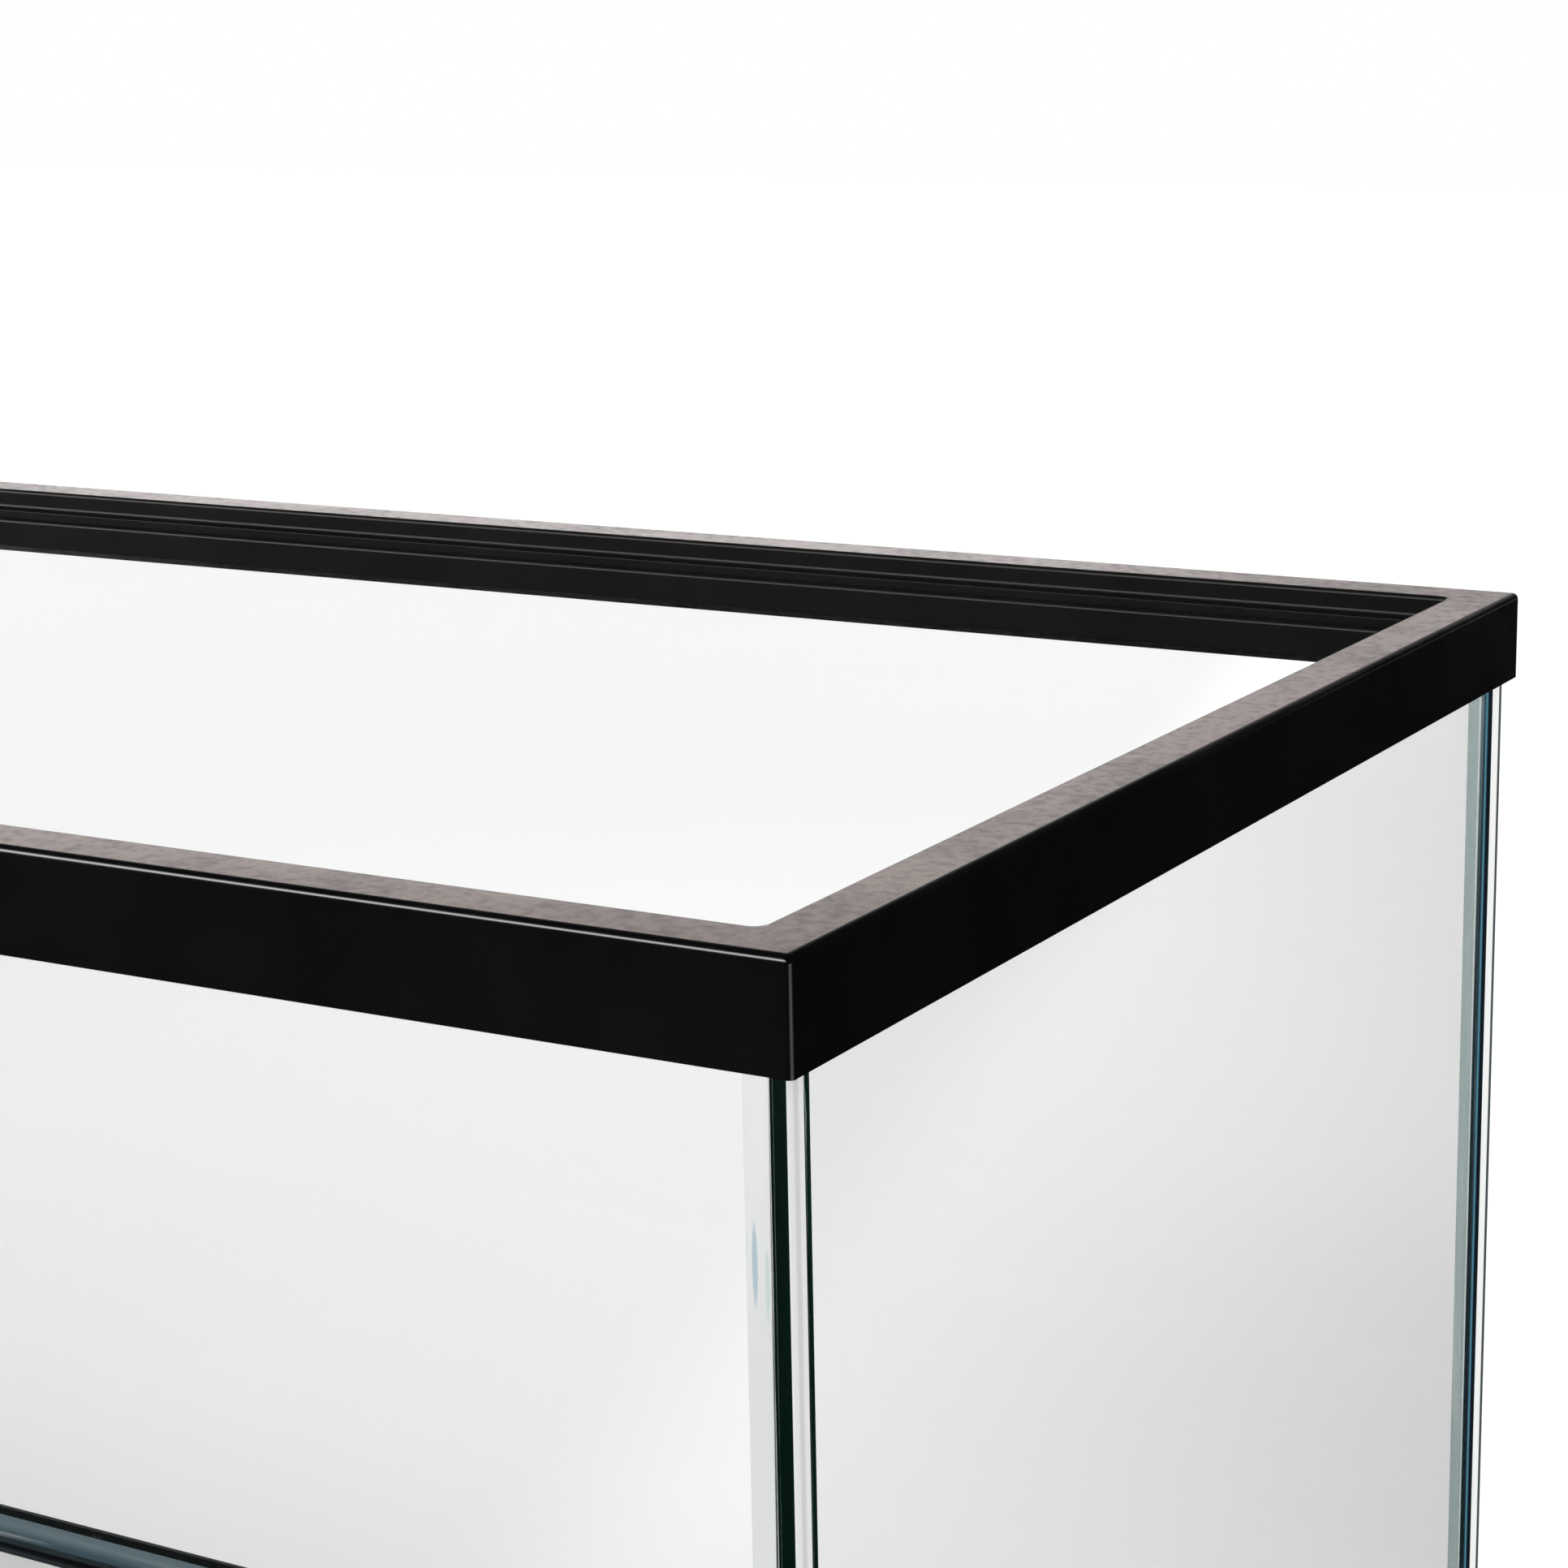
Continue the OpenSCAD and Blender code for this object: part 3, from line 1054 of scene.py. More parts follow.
@dataclass(kw_only=True)
class Moulding:
    """What the top frame and the bottom frame share."""

    finish: bpy.types.Material
    edge: float = 1.3 * MM
    break_edge: float = 0.15 * MM
    nib_pitch: float = 70 * MM
    nib_length: float = 4 * MM
    nib_height: float = 8 * MM
    nib_edge: float = 0.12 * MM
    nib_gap: float = 0.03 * MM
    nib_drop: float = 0.3 * MM
    rear_nib_rise: float = 0.6 * MM
    sink: float = 0.2 * MM

    def corner_edges(self, shape: Shape, inset: float, low: float, high: float) -> list[bmesh.types.BMEdge]:
        """Find the four upright edges at an inset from the outer faces.

        Args:
            shape: The moulding.
            inset: Their distance from the outer faces.
            low: The lowest that they start.
            high: The highest that they end.

        Returns:
            The edges.
        """
        x, y = TANK.length / 2 - inset, TANK.depth / 2 - inset

        def stands_there(edge: bmesh.types.BMEdge) -> bool:
            """Tell whether an edge is upright, at a corner and within the heights.

            Args:
                edge: The edge.

            Returns:
                True if it is.
            """
            first, second = (v.co for v in edge.verts)
            upright = (first.xy - second.xy).length < TOUCH
            at_corner = abs(abs(first.x) - x) < TOUCH and abs(abs(first.y) - y) < TOUCH
            within = min(first.z, second.z) > low - TOUCH and max(first.z, second.z) < high + TOUCH
            return upright and at_corner and within

        return shape.edges(stands_there)

    def rim_edges(
        self, shape: Shape, height: float, least: float, most: Optional[float] = None
    ) -> list[bmesh.types.BMEdge]:
        """Find the level edges where a level face meets an upright one.

        Args:
            shape: The moulding.
            height: Their Z.
            least: Their least distance from the outer faces.
            most: Their most distance from the outer faces, if it isn't the least.

        Returns:
            The edges.
        """
        most = least if most is None else most

        def lies_there(edge: bmesh.types.BMEdge) -> bool:
            """Tell whether an edge lies at the height and joins a level face to an upright one.

            Args:
                edge: The edge.

            Returns:
                True if it does.
            """
            if any(abs(v.co.z - height) > TOUCH for v in edge.verts) or len(edge.link_faces) != 2:
                return False
            middle = (edge.verts[0].co + edge.verts[1].co) / 2
            depth = min(TANK.length / 2 - abs(middle.x), TANK.depth / 2 - abs(middle.y))
            slopes = sorted(abs(face.normal.z) for face in edge.link_faces)
            return slopes[0] < 1.0 - LEVEL and slopes[1] > LEVEL and least - TOUCH < depth < most + TOUCH

        shape.mesh.normal_update()
        return shape.edges(lies_there)

    def stations(self, pitch: float) -> Iterator[tuple[Skirt, Vector, Vector, Vector]]:
        """Walk round the frame and stop at even steps along each side.

        Args:
            pitch: Rough distance between the stops.

        Yields:
            The side, the steps along it and outward, and the stop on the frame's outer face.
        """
        for side in Skirt:
            along, outward = (Vector((*pair, 0.0)) for pair in side.value)
            length, reach = (TANK.length, TANK.depth / 2) if along.x else (TANK.depth, TANK.length / 2)
            count = max(1, round(length / pitch) - 1)
            for number in range(1, count + 1):
                step = number * length / (count + 1) - length / 2
                yield side, along, outward, outward * reach + along * step

    def add_nibs(self, shape: Shape, edge: float, inward: int) -> None:
        """Add the nibs that centre a skirt on the glass.

        Args:
            shape: The moulding.
            edge: The Z of the skirt's edge.
            inward: 1 if the skirt is above its edge, or -1 if it is below.
        """
        plays = {Skirt.FRONT: TANK.front_play, Skirt.BACK: TANK.rear_play}
        for side, along, outward, stop in self.stations(self.nib_pitch):
            half, play = along * self.nib_length / 2, plays.get(side, TANK.end_play)
            start = self.rear_nib_rise if side is Skirt.BACK else -self.nib_drop
            near = stop + outward * (self.sink - TANK.mould) - half
            far = stop + outward * (self.nib_gap - TANK.mould - play) + half
            near.z, far.z = edge + inward * start, edge + inward * (start + self.nib_height)
            added = set(shape.block(near, far))
            rims = shape.edges(lambda rim: added.issuperset(rim.verts))
            shape.round_over(rims, self.nib_edge, Steps.TINY)


@dataclass(kw_only=True)
class TopFrame(Moulding):
    """The black rim round the tank's opening, with flat top, lid ledge, lower step and glass channel."""

    shaded_finish: bpy.types.Material
    skirt: float = 18.6 * MM
    flange_width: float = 12.1 * MM
    flange_edge: float = 1.0 * MM
    opening_corner: float = 2.0 * MM
    lid_drop: float = 5.1 * MM
    lid_width: float = 2.9 * MM
    lid_edge: float = 0.2 * MM
    cove: float = 1.2 * MM
    step_drop: float = 2.2 * MM
    step_width: float = 1.5 * MM
    step_edge: float = 1.0 * MM
    inner_skirt: float = 14.6 * MM
    leg_drop: float = 9.0 * MM
    leg: float = 1.2 * MM
    leg_fit: float = 0.4 * MM
    # Faces just under the flat top whose normals rise more than this get the shaded copy: a painted dark
    # band under the rounded top edge
    shaded_slope: float = 0.93

    def stepped_ring(self) -> Shape:
        """Build the ring from a block: steps cut in from above, and a hollow from below.

        Returns:
            The ring, with square edges.
        """
        shape = Shape()
        low, high, wall = TANK.height - self.skirt, TANK.height, TANK.mould
        lid_z, lip_z = high - self.lid_drop, high - self.inner_skirt
        step_z = lid_z - self.step_drop
        shape.block((-TANK.length / 2, -TANK.depth / 2, low), (TANK.length / 2, TANK.depth / 2, high))
        face = shape.level_face(high)
        for width, height in (
            (self.flange_width, lid_z),
            (self.lid_width, step_z),
            (self.step_width, lip_z),
        ):
            face = shape.push(shape.inset(face, width), height)
        shape.mesh.faces.remove(face)
        face = shape.level_face(low)
        for width, height in (
            (wall, high - TANK.flange),
            (self.flange_width - 2 * wall, lid_z - wall),
            (self.lid_width, step_z - wall),
            (self.step_width, lip_z),
        ):
            face = shape.push(shape.inset(face, width), height)
        shape.mesh.faces.remove(shape.inset(face, wall))
        bmesh.ops.remove_doubles(shape.mesh, verts=shape.mesh.verts, dist=TOUCH)
        return shape

    def soften(self, shape: Shape) -> None:
        """Round the ring's edges as the mould does.

        Args:
            shape: The ring.
        """
        high, low, flange = TANK.height, TANK.height - self.skirt, self.flange_width
        lid_z, lip_z = high - self.lid_drop, high - self.inner_skirt
        lid_inset = flange + self.lid_width
        step_inset = lid_inset + self.step_width
        shape.round_over(self.corner_edges(shape, flange, lid_z, high), self.opening_corner, Steps.CORNER)
        outer = self.corner_edges(shape, 0.0, low, high) + self.rim_edges(shape, high, 0.0)
        shape.round_over(outer, self.edge, Steps.LARGE)
        for height, least, most, radius, steps in (
            (high, flange, lid_inset, self.flange_edge, Steps.SMALL),
            (lid_z, flange, lid_inset - MM, self.cove, Steps.SMALL),
            (lid_z, lid_inset, lid_inset, self.lid_edge, Steps.TINY),
            (lid_z - self.step_drop, step_inset, step_inset, self.step_edge, Steps.SMALL),
            (low, 0.0, 0.0, self.break_edge, Steps.BROKEN),
            (low, TANK.mould, TANK.mould, self.break_edge, Steps.TINY),
            (lip_z, step_inset, step_inset, self.break_edge, Steps.BROKEN),
        ):
            shape.round_over(self.rim_edges(shape, height, least, most), radius, steps)

    def add_channel_leg(self, shape: Shape) -> None:
        """Add the inner leg of the channel that the panes stand in.

        Args:
            shape: The ring.
        """
        fit = self.leg_fit
        end, front, back = TANK.inner_end - fit, TANK.inner_front + fit, TANK.inner_back - fit
        low, high = TANK.height - self.leg_drop, TANK.height - TANK.flange / 2
        corners = shape.block((-end, front, low), (end, back, high))
        faces = {face for corner in corners for face in corner.link_faces}
        ends = [pick(faces, key=lambda face: face.calc_center_median().z) for pick in (max, min)]
        for face in ends:
            shape.inset(face, self.leg)
        loops = [edge for face in ends for edge in face.edges]
        for face in ends:
            shape.mesh.faces.remove(face)
        bmesh.ops.bridge_loops(shape.mesh, edges=loops)

    def build(self) -> None:
        shape = self.stepped_ring()
        self.soften(shape)
        self.add_channel_leg(shape)
        self.add_nibs(shape, TANK.height - self.skirt, 1)

        def finish_of(face: bmesh.types.BMFace) -> int:
            """Number a face's finish: 1, the shaded copy, inside the opening and just off the flat top, as
            painted shade there; 0 for all else.

            Args:
                face: The face.

            Returns:
                The number.
            """
            middle = face.calc_center_median()
            inset = min(TANK.length / 2 - abs(middle.x), TANK.depth / 2 - abs(middle.y))
            off_top = middle.z < TANK.height - TOUCH
            # Painted shade: the near-level rounding just under the top edge
            near_top = off_top and face.normal.z > self.shaded_slope
            return int(near_top or (off_top and inset > self.flange_width - self.flange_edge))

        piece = shape.piece("top_frame_moulding", [self.finish, self.shaded_finish], finish_of=finish_of)
        Reporter.stand_in(piece, "frame_plastic", "top_frame")


@dataclass(kw_only=True)
class BottomFrame(Moulding):
    """The black rim under the tank: a skirt round the glass and a ribbed ledge that carries it."""

    skirt: float = 15.1 * MM
    ledge_width: float = 16 * MM
    web_pitch: float = 64 * MM
    web_lift: float = 0.1 * MM

    def ring(self) -> Shape:
        """Build the ring from a block: a well cut in from above, and a hollow and the opening from below.

        Returns:
            The ring, with square edges.
        """
        shape = Shape()
        wall = TANK.mould
        shape.block((-TANK.length / 2, -TANK.depth / 2, 0.0), (TANK.length / 2, TANK.depth / 2, self.skirt))
        upper = shape.push(shape.inset(shape.level_face(self.skirt), wall), TANK.ledge)
        upper = shape.inset(upper, self.ledge_width - wall)
        lower = shape.push(shape.inset(shape.level_face(0.0), wall), TANK.ledge - wall)
        lower = shape.push(shape.inset(lower, self.ledge_width - 2 * wall), 0.0)
        lower = shape.inset(lower, wall)
        loops = [*upper.edges, *lower.edges]
        for face in (upper, lower):
            shape.mesh.faces.remove(face)
        bmesh.ops.bridge_loops(shape.mesh, edges=loops)
        return shape

    def soften(self, shape: Shape) -> None:
        """Round the ring's edges as the mould does.

        Args:
            shape: The ring.
        """
        width = self.ledge_width
        outer = self.corner_edges(shape, 0.0, 0.0, self.skirt) + self.rim_edges(shape, 0.0, 0.0)
        shape.round_over(outer, self.edge, Steps.LARGE)
        for height, inset in (
            (self.skirt, 0.0),
            (self.skirt, TANK.mould),
            (TANK.ledge, width),
            (0.0, width),
        ):
            shape.round_over(self.rim_edges(shape, height, inset), self.break_edge, Steps.BROKEN)

    def add_webs(self, shape: Shape) -> None:
        """Add the webs under the ledge.

        Args:
            shape: The ring.
        """
        wall = TANK.mould
        for _, along, outward, stop in self.stations(self.web_pitch):
            half = along * wall / 2
            near = stop + outward * (self.sink - wall) - half
            far = stop + outward * (wall - self.sink - self.ledge_width) + half
            near.z, far.z = self.web_lift, TANK.ledge - wall + self.sink
            shape.block(near, far)

    def build(self) -> None:
        shape = self.ring()
        self.soften(shape)
        self.add_webs(shape)
        self.add_nibs(shape, self.skirt, -1)
        piece = shape.piece("bottom_frame_moulding", [self.finish])
        Reporter.stand_in(piece, "frame_plastic", "bottom_frame")


@dataclass
class Panes:
    """The five panes, each with ground arrises."""

    glass: bpy.types.Material
    green_edge: bpy.types.Material
    banded_edge: bpy.types.Material
    arris: float = 0.25 * MM
    # The rear pane's open ends: a painted shadow line this wide along the outer arris, and a stronger
    # painted glow
    dark_line: float = 1.9 * MM
    dark_line_glow: float = 0.5
    rear_slope: float = 0.5
    rear_end_slope: float = 0.6

    def long_edge(self, name: str, low: Sequence[float], high: Sequence[float]) -> bpy.types.Material:
        """Return the finish of a long pane's open ends.

        Args:
            name: The pane's name.
            low: Its lowest corner.
            high: Its highest corner.

        Returns:
            The finish, with a painted shadow line and a stronger painted glow on the rear pane's.
        """
        seam = SeamedEdge(name=name + "_seamed_edge", middle=(low[1] + high[1]) / 2)
        if low[1] > 0.0:
            seam = replace(seam, stripe=seam.ground, shadow_line_width=self.dark_line, painted_glow=self.dark_line_glow)
        return seam.material()

    def pane(self, name: str, low: Sequence[float], high: Sequence[float], thin: int) -> None:
        """Build one pane and put it in place of its CAD node.

        Args:
            name: The CAD node that it stands for.
            low: Its lowest corner.
            high: Its highest corner.
            thin: The axis across its thickness.
        """
        shape = Shape()
        shape.block(low, high)
        shape.round_over(shape.mesh.edges, self.arris, Steps.FLAT)
        # Cut edges take the painted glows: green, and across the end panes' rear edges painted blue light
        # and shade
        if thin == 1:
            edges, rear = [self.long_edge(name, low, high), self.green_edge], self.rear_slope
        else:
            edges, rear = [self.green_edge, self.banded_edge], self.rear_end_slope

        def finish_of(face: bmesh.types.BMFace) -> int:
            """Number a face's finish: 0 for a broad face, 2 for an upright pane's rear edge, or else 1.

            Args:
                face: The face.

            Returns:
                The number.
            """
            if abs(face.normal[thin]) > LEVEL:
                return 0
            return 2 if thin < 2 and face.normal.y > rear else 1

        piece = shape.piece(name + "_pane", [self.glass, *edges], smooth=False, finish_of=finish_of)
        Reporter.stand_in(piece, "wall_glass", name)

    def build(self) -> None:
        """Build the five panes."""
        end, inner = TANK.glass_end, TANK.inner_end
        front, back = TANK.inner_front, TANK.inner_back
        low, high, gap = TANK.glass_low, TANK.glass_high, TANK.joint
        for name, y0, y1 in (
            ("front_glass", TANK.glass_front, front),
            ("back_glass", back, TANK.glass_back),
        ):
            self.pane(name, (-end, y0, low), (end, y1, high), 1)
        for name, x0, x1 in (("left_glass", -end, -inner), ("right_glass", inner, end)):
            self.pane(name, (x0, front + gap, low), (x1, back - gap, high), 0)
        top = TANK.base_top
        self.pane("base_glass", (gap - inner, front + gap, low), (inner - gap, back - gap, top), 2)


@dataclass
class Bonds:
    """The silicone between the panes: upright bond lines, and the ones round the base pane."""

    finish: bpy.types.Material
    end_finish: bpy.types.Material
    # The cut edges' painted glows, put on the upright lines' inner sides
    front_side: bpy.types.Material
    back_side: bpy.types.Material
    clear: float = 0.03 * MM
    edge: float = 0.12 * MM

    def line(
        self,
        name: str,
        low: Sequence[float],
        high: Sequence[float],
        side: Optional[bpy.types.Material] = None,
    ) -> None:
        """Build one bond line and put it in place of its CAD node.

        Args:
            name: The CAD node that it stands for.
            low: Its lowest corner.
            high: Its highest corner.
            side: Finish of an upright line's inner side: the cut edge's painted glow, as it would show
                through the bond.
        """
        shape = Shape()
        gap = Vector((self.clear,) * 3)
        shape.block(Vector(low) + gap, Vector(high) - gap)
        shape.round_over(shape.mesh.edges, self.edge, Steps.BROKEN)

        def finish_of(face: bmesh.types.BMFace) -> int:
            """Number a face's finish: 1 for an upright line's open end, 2 for its inner side, or else 0.

            Args:
                face: The face.

            Returns:
                The number.
            """
            reach, border = abs(face.calc_center_median().x), self.edge + self.clear
            if reach > TANK.glass_end - TANK.joint_recess - border:
                return 1
            return 2 if side is not None and reach < TANK.inner_end + border else 0

        finishes = [self.finish, self.end_finish, side or self.finish]
        Reporter.stand_in(shape.piece(name + "_line", finishes, finish_of=finish_of), "bond_silicone", name)

    def build(self) -> None:
        """Build the eight bond lines."""
        inner, out = TANK.inner_end, TANK.glass_end - TANK.joint_recess
        front, back, gap = TANK.inner_front, TANK.inner_back, TANK.joint
        low, high, top = TANK.glass_low, TANK.glass_high, TANK.base_top
        for depth, y0, y1, side in (
            ("front", front, front + gap, self.front_side),
            ("back", back - gap, back, self.back_side),
        ):
            self.line(depth + "_left_joint", (-out, y0, low), (-inner, y1, high), side)
            self.line(depth + "_right_joint", (inner, y0, low), (out, y1, high), side)
            self.line(depth + "_base_joint", (-inner, y0, low), (inner, y1, top))
        for end, x0, x1 in (("left", -inner, -inner + gap), ("right", inner - gap, inner)):
            self.line(end + "_base_joint", (x0, front + gap, low), (x1, back - gap, top))


@dataclass
class Beads:
    """The silicone beads in the tank's inner corners, tooled to a hollow fillet."""

    clear: float = 0.03 * MM
    steps: int = 9
    cloudy: Colour = (0.88, 0.89, 0.885, 1.0)
    shaded: Colour = (0.46, 0.56, 0.56, 1.0)
    # Painted light on the rear beads: how far the pale band and the blue band reach from the end panes
    pale_reach: float = 1.3 * MM
    blue_reach: float = 0.45 * MM
    milky: Colour = (0.34, 0.46, 0.52, 1.0)
    milky_clearness: float = 0.4
    milky_ripple: float = 0.05
    # Painted shade at the back base bead's foot
    painted_foot_shade: Colour = (0.09, 0.15, 0.19, 1.0)
    blue_smear: Smear = Smear(
        middle=(374.2 * MM, -152.2 * MM, 274.5 * MM), reach=(0.60 * MM, 0.6 * MM, 7.6 * MM),
        colour=(0.46, 0.66, 0.80, 1.0), clearness=0.75,
    )
    teal_smear: Smear = Smear(
        middle=(376.3 * MM, -152.2 * MM, 271.5 * MM), reach=(0.50 * MM, 0.6 * MM, 7.5 * MM),
        colour=(0.66, 0.82, 0.80, 1.0), clearness=0.88,
    )

    def section(self, shape: Shape) -> bmesh.types.BMFace:
        """Draw a bead's section in the XY plane, with the panes' corner at the origin.

        Args:
            shape: The bead.

        Returns:
            The section's face.
        """
        width, radius, gap = TANK.bead, TANK.bead_radius, self.clear
        middle = (width + math.sqrt(2 * radius * radius - width * width)) / 2
        start = shape.mesh.verts.new((width, gap, 0.0))
        first = math.atan2(gap - middle, width - middle)
        sweep = -2 * (first + math.radians(90)) - math.radians(90)
        spun = bmesh.ops.spin(
            shape.mesh, geom=[start], cent=(middle, middle, 0.0), axis=(0.0, 0.0, 1.0), angle=sweep,
            steps=self.steps, use_duplicate=False,
        )
        corner = shape.mesh.verts.new((gap, gap, 0.0))
        shape.mesh.edges.new((corner, start))
        end = next(item for item in spun["geom_last"] if isinstance(item, bmesh.types.BMVert))
        shape.mesh.edges.new((end, corner))
        return bmesh.ops.contextual_create(shape.mesh, geom=shape.mesh.edges)["faces"][0]

    def run(self, finish: Silicone, place: Matrix, length: float, mitred: bool) -> None:
        """Build one bead and put it in place of its CAD node.

        Args:
            finish: Its silicone, named after the CAD node that the bead stands for.
            place: Takes the section's corner and axes to the bead's.
            length: The bead's length, along the section's Z.
            mitred: True to cut its ends at 45 degrees.
        """
        shape = Shape()
        face = self.section(shape)
        pushed = bmesh.ops.extrude_face_region(shape.mesh, geom=[face])["geom"]
        top = [item for item in pushed if isinstance(item, bmesh.types.BMVert)]
        bmesh.ops.translate(shape.mesh, verts=top, vec=(0.0, 0.0, length))
        if mitred:
            for vert in shape.mesh.verts:
                vert.co.z += vert.co.x if vert.co.z < length / 2 else -vert.co.x
        bmesh.ops.transform(shape.mesh, matrix=place, verts=shape.mesh.verts)
        piece = shape.piece(finish.name + "_fillet", [finish.material()])
        Reporter.stand_in(piece, "bead_silicone", finish.name)

    def build(self) -> None:
        """Build the eight beads."""
        inner, front, back, top = TANK.inner_end, TANK.inner_front, TANK.inner_back, TANK.base_top
        tall, long, deep = TANK.bead_high - top, 2 * inner, back - front
        smeared = Silicone("front_right_bead", tint=self.cloudy, smears=(self.blue_smear, self.teal_smear))
        reaches = {"pale_reach": self.pale_reach, "blue_reach": self.blue_reach}
        rear = Silicone("back_left_bead", tint=self.shaded, **reaches)
        milky = Silicone(
            "back_base_bead", Run.ALONG, self.milky, clearness=self.milky_clearness,
            ripple=self.milky_ripple, painted_foot_shade=self.painted_foot_shade,
        )
        lying = Matrix(((0, 0, 1, 0), (1, 0, 0, 0), (0, 1, 0, 0), (0, 0, 0, 1)))
        for finish, x, y, turn, length in (
            (Silicone("front_left_bead"), -inner, front, 0, tall),
            (smeared, inner, front, 90, tall),
            (rear, -inner, back, -90, tall),
            (replace(rear, name="back_right_bead"), inner, back, 180, tall),
            (Silicone("front_base_bead", Run.ALONG), -inner, front, 0, long),
            (milky, inner, back, 180, long),
            (Silicone("left_base_bead", Run.ACROSS), -inner, back, -90, deep),
            (Silicone("right_base_bead", Run.ACROSS), inner, front, 90, deep),
        ):
            place = Matrix.Translation((x, y, top)) @ Matrix.Rotation(math.radians(turn), 4, "Z")
            upright = finish.run is Run.UPRIGHT
            self.run(finish, place if upright else place @ lying, length, mitred=not upright)


@dataclass
class Studio:
    """A pale seamless floor under broad soft light, with white surroundings that the glass shows too."""

    floor_half: float = 6.0
    floor_colour: Colour = (0.80, 0.80, 0.80, 1.0)
    floor_patch: Colour = (0.79, 0.79, 0.79, 1.0)
    floor_patches: Grain = Grain(3.0)
    floor_patched: Span = Span(0.3, 0.7)
    floor_roughness: float = 0.9
    floor_lift: float = 0.34
    pad_height: float = 5.4 * MM
    pad_inset: float = 17 * MM
    # Painted light and shade on the floor as the glass shows it: a glow that changes with distance, a
    # lighter band to the tank's right, and a painted shadow behind its right end
    glass_lift: Span = Span(0.75, 1.2, 0.30, 0.24)
    side_way: tuple[float, float] = (1.0, 0.25)
    side_border: Span = Span(0.09, 0.18)
    side_lift: Span = Span(0.3, 1.2, 0.11, 0.21)
    painted_shadow_place: tuple[float, float, float] = (0.30, 0.48, 0.0)
    shade: Span = Span(0.05, 0.28, -0.07, 0.0)
    ambient: float = 0.60
    mirror_dark: float = 0.008
    mirror_way: tuple[float, float] = (-0.85, 0.53)
    mirror_height: Span = Span(0.28, 0.37, 1.0, 0.0)
    mirror_width: Span = Span(0.30, 0.62)
    mirror_floor: Span = Span(0.25, 1.3, 0.008, 1.15)
    mirror_far: Span = Span(0.16, 0.25, 1.75, 1.15)
    horizon: float = 3.6
    horizon_height: Span = Span(0.08, 0.24, 1.0, 0.0)
    horizon_width: Span = Span(0.79, 0.86)
    lamp_way: tuple[float, float] = (-0.57, -0.82)
    lamp_foot: Span = Span(0.14, 0.36)
    lamp_top: Span = Span(0.42, 0.62, 12.0, 0.0)
    lamp_width: Span = Span(0.55, 0.80)
    # Painted light on the floor, seen only in reflections: a faint glimmer, and a glowing spot for the
    # highlight on the frame's front right corner
    painted_glimmer: Span = Span(0.3, 1.0, 0.0, 0.05)
    painted_spot_place: tuple[float, float, float] = (1.36, -0.51, 0.0)
    painted_spot: Span = Span(0.0, 0.60, 2.4, 0.0)
    sky_way: tuple[float, float, float] = (-0.35, 0.1, 2.0)
    sky_strength: float = 1.2
    sky_spread: float = 50.0

    def build_world(self) -> None:
        """Light the scene from all round, with a white background that glass shows too."""
        world = bpy.data.worlds.new("studio")
        bpy.context.scene.world = world
        wires = Wiring(world)
        way = wires.parts(wires.add("ShaderNodeTexCoord").outputs["Generated"])
        height, along = way["Z"], wires.along(way, self.mirror_way)
        horizon = wires.ramp(height, *self.horizon_height)
        horizon = wires.product(horizon, wires.ramp(along, *self.horizon_width))
        far = wires.ramp(height, *self.mirror_far)
        behind = wires.ramp(along, *self.mirror_width)
        behind = wires.product(behind, wires.ramp(height, *self.mirror_height))
        shine = wires.between(behind, self.mirror_dark, wires.between(horizon, far, self.horizon))
        lamp = wires.product(
            wires.first_hit(2), wires.ramp(height, *self.lamp_foot), wires.ramp(height, *self.lamp_top),
            wires.ramp(wires.along(way, self.lamp_way), *self.lamp_width),
        )
        level = wires.math("ADD", self.ambient, wires.product(wires.straight(), 1.0 - self.ambient))
        change = wires.math("SUBTRACT", wires.math("ADD", shine, lamp), level)
        strength = wires.math("ADD", level, wires.product(wires.mirrored(), change))
        light = wires.add("ShaderNodeBackground")
        light.inputs["Color"].default_value = WHITE
        wires.link(strength, light.inputs["Strength"])
        wires.link(light.outputs[0], wires.add("ShaderNodeOutputWorld").inputs["Surface"])

    def floor_glow(self, wires: Wiring) -> bpy.types.NodeSocket:
        """Return the floor's glow, which makes it white to the camera and pale grey through glass, with
        painted light and shade there.

        Args:
            wires: The floor's node tree.

        Returns:
            The glow's strength.
        """
        away = wires.distance((0.0, 0.0, 0.0))
        aside = wires.ramp(wires.along(wires.parts(wires.place()), self.side_way), *self.side_border)
        side = wires.product(aside, wires.ramp(away, *self.side_lift))
        # A painted shadow on the floor behind the tank's right end, seen through the glass
        shade = wires.ramp(wires.distance(self.painted_shadow_place), *self.shade)
        through = wires.math("ADD", wires.ramp(away, *self.glass_lift), wires.math("ADD", side, shade))
        lift = wires.between(wires.ray("Is Camera Ray"), through, self.floor_lift)
        return wires.product(lift, wires.straight())

    def floor_mirror(self, wires: Wiring) -> bpy.types.NodeSocket:
        """Return how bright the floor is in the object's glossy faces: painted reflection light, brighter
        towards the back left, with a faint glimmer towards the front left and a glowing spot that paints
        the highlight down the top frame's front right corner.

        Args:
            wires: The floor's node tree.

        Returns:
            The brightness.
        """
        place = wires.parts(wires.place())
        bright = wires.ramp(wires.along(place, self.mirror_way), *self.mirror_floor)
        painted_glimmer = wires.ramp(wires.along(place, self.lamp_way), *self.painted_glimmer)
        painted_spot = wires.ramp(wires.distance(self.painted_spot_place), *self.painted_spot)
        extra = wires.product(wires.math("ADD", painted_spot, painted_glimmer), wires.first_hit(1))
        return wires.math("ADD", bright, extra)

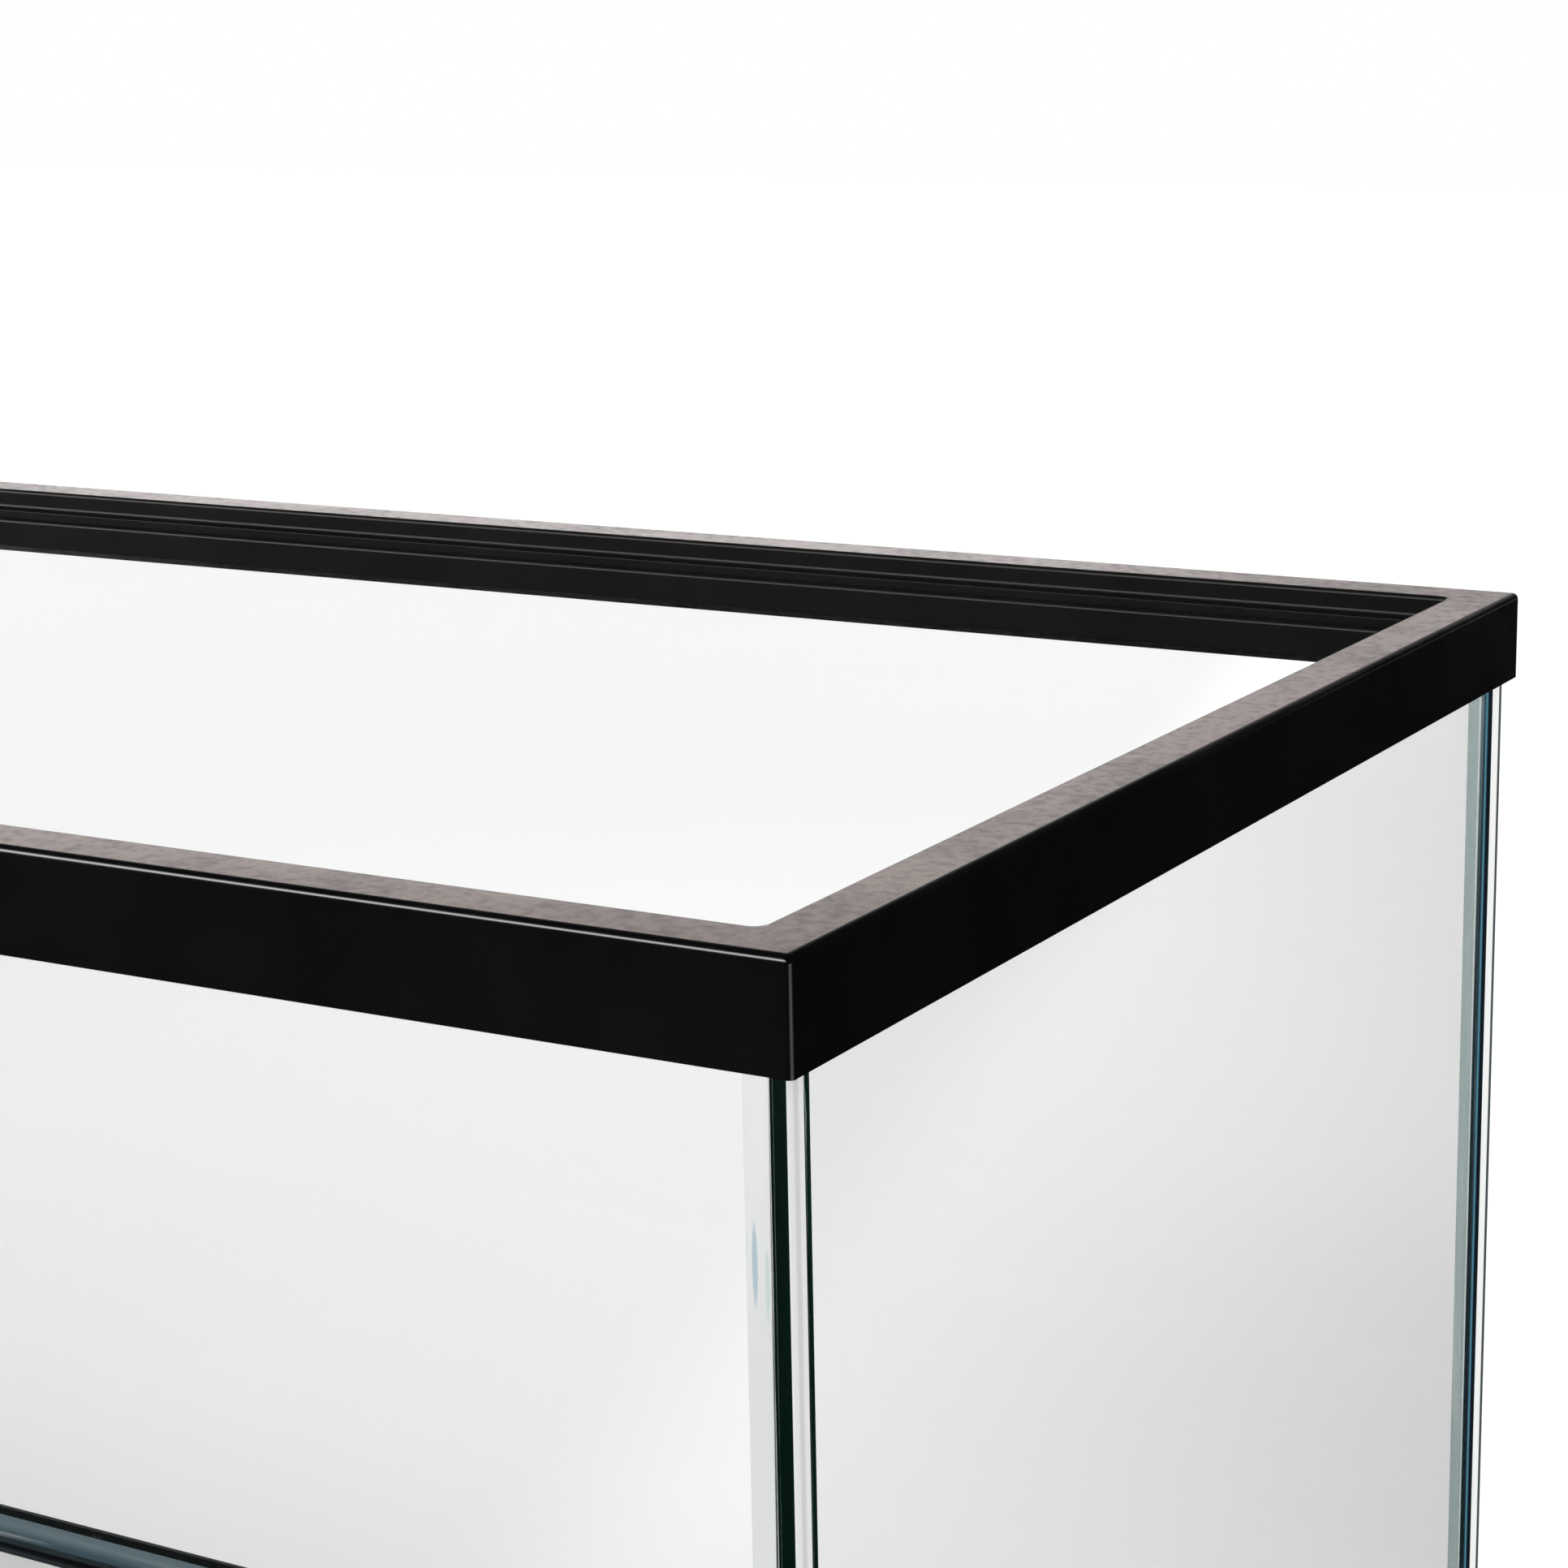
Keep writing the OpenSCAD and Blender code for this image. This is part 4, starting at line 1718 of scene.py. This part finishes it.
    def floor_material(self) -> bpy.types.Material:
        """Build the floor's material.

        Returns:
            The material.
        """
        made = bpy.data.materials.new("studio_floor")
        wires = Wiring(made)
        patches = wires.ramp(wires.noise(self.floor_patches), *self.floor_patched)
        paint = wires.principled(
            Base_Color=wires.blend(patches, self.floor_colour, self.floor_patch),
            Roughness=self.floor_roughness, Specular_IOR_Level=0.0,
        )
        both = wires.add("ShaderNodeAddShader")
        wires.link(paint.outputs[0], both.inputs[0])
        wires.link(wires.emission(self.floor_glow(wires)).outputs[0], both.inputs[1])
        wires.output(wires.mixed(wires.mirrored(), both, wires.emission(self.floor_mirror(wires))))
        return made

    def build_floor(self) -> None:
        """Lay the floor, with a low pad inside the bottom frame's opening."""
        shape = Shape()
        bmesh.ops.create_grid(shape.mesh, x_segments=1, y_segments=1, size=self.floor_half)
        for axis, size in enumerate((TANK.length, TANK.depth)):
            half = size / 2 - self.pad_inset
            shape.slice_across(axis, (-half, half))
        pad = min(shape.mesh.faces, key=lambda face: face.calc_center_median().length + face.calc_area())
        shape.push(pad, self.pad_height)
        floor = shape.piece("studio_floor", [self.floor_material()], smooth=False)

    def build_sky(self) -> None:
        """Hang one broad far light, which lights the floor evenly and isn't mirrored in glossy edges."""
        data = bpy.data.lights.new("overhead_skylight", "SUN")
        data.energy, data.angle = self.sky_strength, math.radians(self.sky_spread)
        light = bpy.data.objects.new(data.name, data)
        bpy.context.scene.collection.objects.link(light)
        light.rotation_euler = Vector(self.sky_way).to_track_quat("Z", "Y").to_euler()
        light.visible_glossy = False
        LOG.info("%s: %.2f W/m2", light.name, data.energy)

    def build(self) -> None:
        """Build the studio."""
        self.build_world()
        self.build_floor()
        self.build_sky()


@dataclass
class PhotoCamera:
    """The camera, where the photograph was taken from."""

    place: tuple[float, float, float] = (0.6263, -0.5757, 0.4621)
    yaw: float = -30.2199
    pitch: float = 13.1992
    roll: float = -1.1504
    lens: float = 81.33
    sensor: float = 36.0
    clip: tuple[float, float] = (0.02, 60.0)

    def build(self) -> None:
        """Set up the camera."""
        yaw, pitch, roll = (math.radians(angle) for angle in (self.yaw, self.pitch, self.roll))
        level = math.cos(pitch)
        forward = Vector((math.sin(yaw) * level, math.cos(yaw) * level, -math.sin(pitch)))
        right = Vector((math.cos(yaw), -math.sin(yaw), 0.0))
        up = right.cross(forward)
        across = right * math.cos(roll) + up * math.sin(roll)
        upward = up * math.cos(roll) - right * math.sin(roll)
        data = bpy.data.cameras.new("photo_camera")
        data.lens, data.sensor_width = self.lens, self.sensor
        data.clip_start, data.clip_end = self.clip
        camera = bpy.data.objects.new("photo_camera", data)
        bpy.context.scene.collection.objects.link(camera)
        turn = Matrix((across, upward, -forward)).transposed().to_4x4()
        camera.matrix_world = Matrix.Translation(self.place) @ turn
        bpy.context.scene.camera = camera
        LOG.info("camera at %s, lens %.1f mm", self.place, self.lens)


def main() -> None:
    """Build the tank, its studio and the camera."""
    logging.basicConfig(level=logging.INFO, format="%(name)s: %(message)s")
    scene = bpy.context.scene
    scene.view_settings.view_transform = "Standard"
    scene.cycles.max_bounces = scene.cycles.transmission_bounces = BOUNCES
    black, shaded = BlackMoulding().material(), ShadedMoulding().material()
    bond = Silicone("clear_bond", clearness=1.0, gloss=(0.0, 0.03), ripple=0.1).material()
    TopFrame(finish=black, shaded_finish=shaded).build()
    BottomFrame(finish=shaded).build()
    green, banded = DeepEdge().material(), BandedEdge().material()
    Panes(glass=ClearGlass().material(), green_edge=green, banded_edge=banded).build()
    Bonds(finish=bond, end_finish=BondEnd().material(), front_side=green, back_side=banded).build()
    Beads().build()
    for bedding in ("top_bedding", "bottom_bedding"):
        Reporter.dress(bedding, bond)
    Studio().build()
    PhotoCamera().build()


if __name__ == "__main__":
    main()
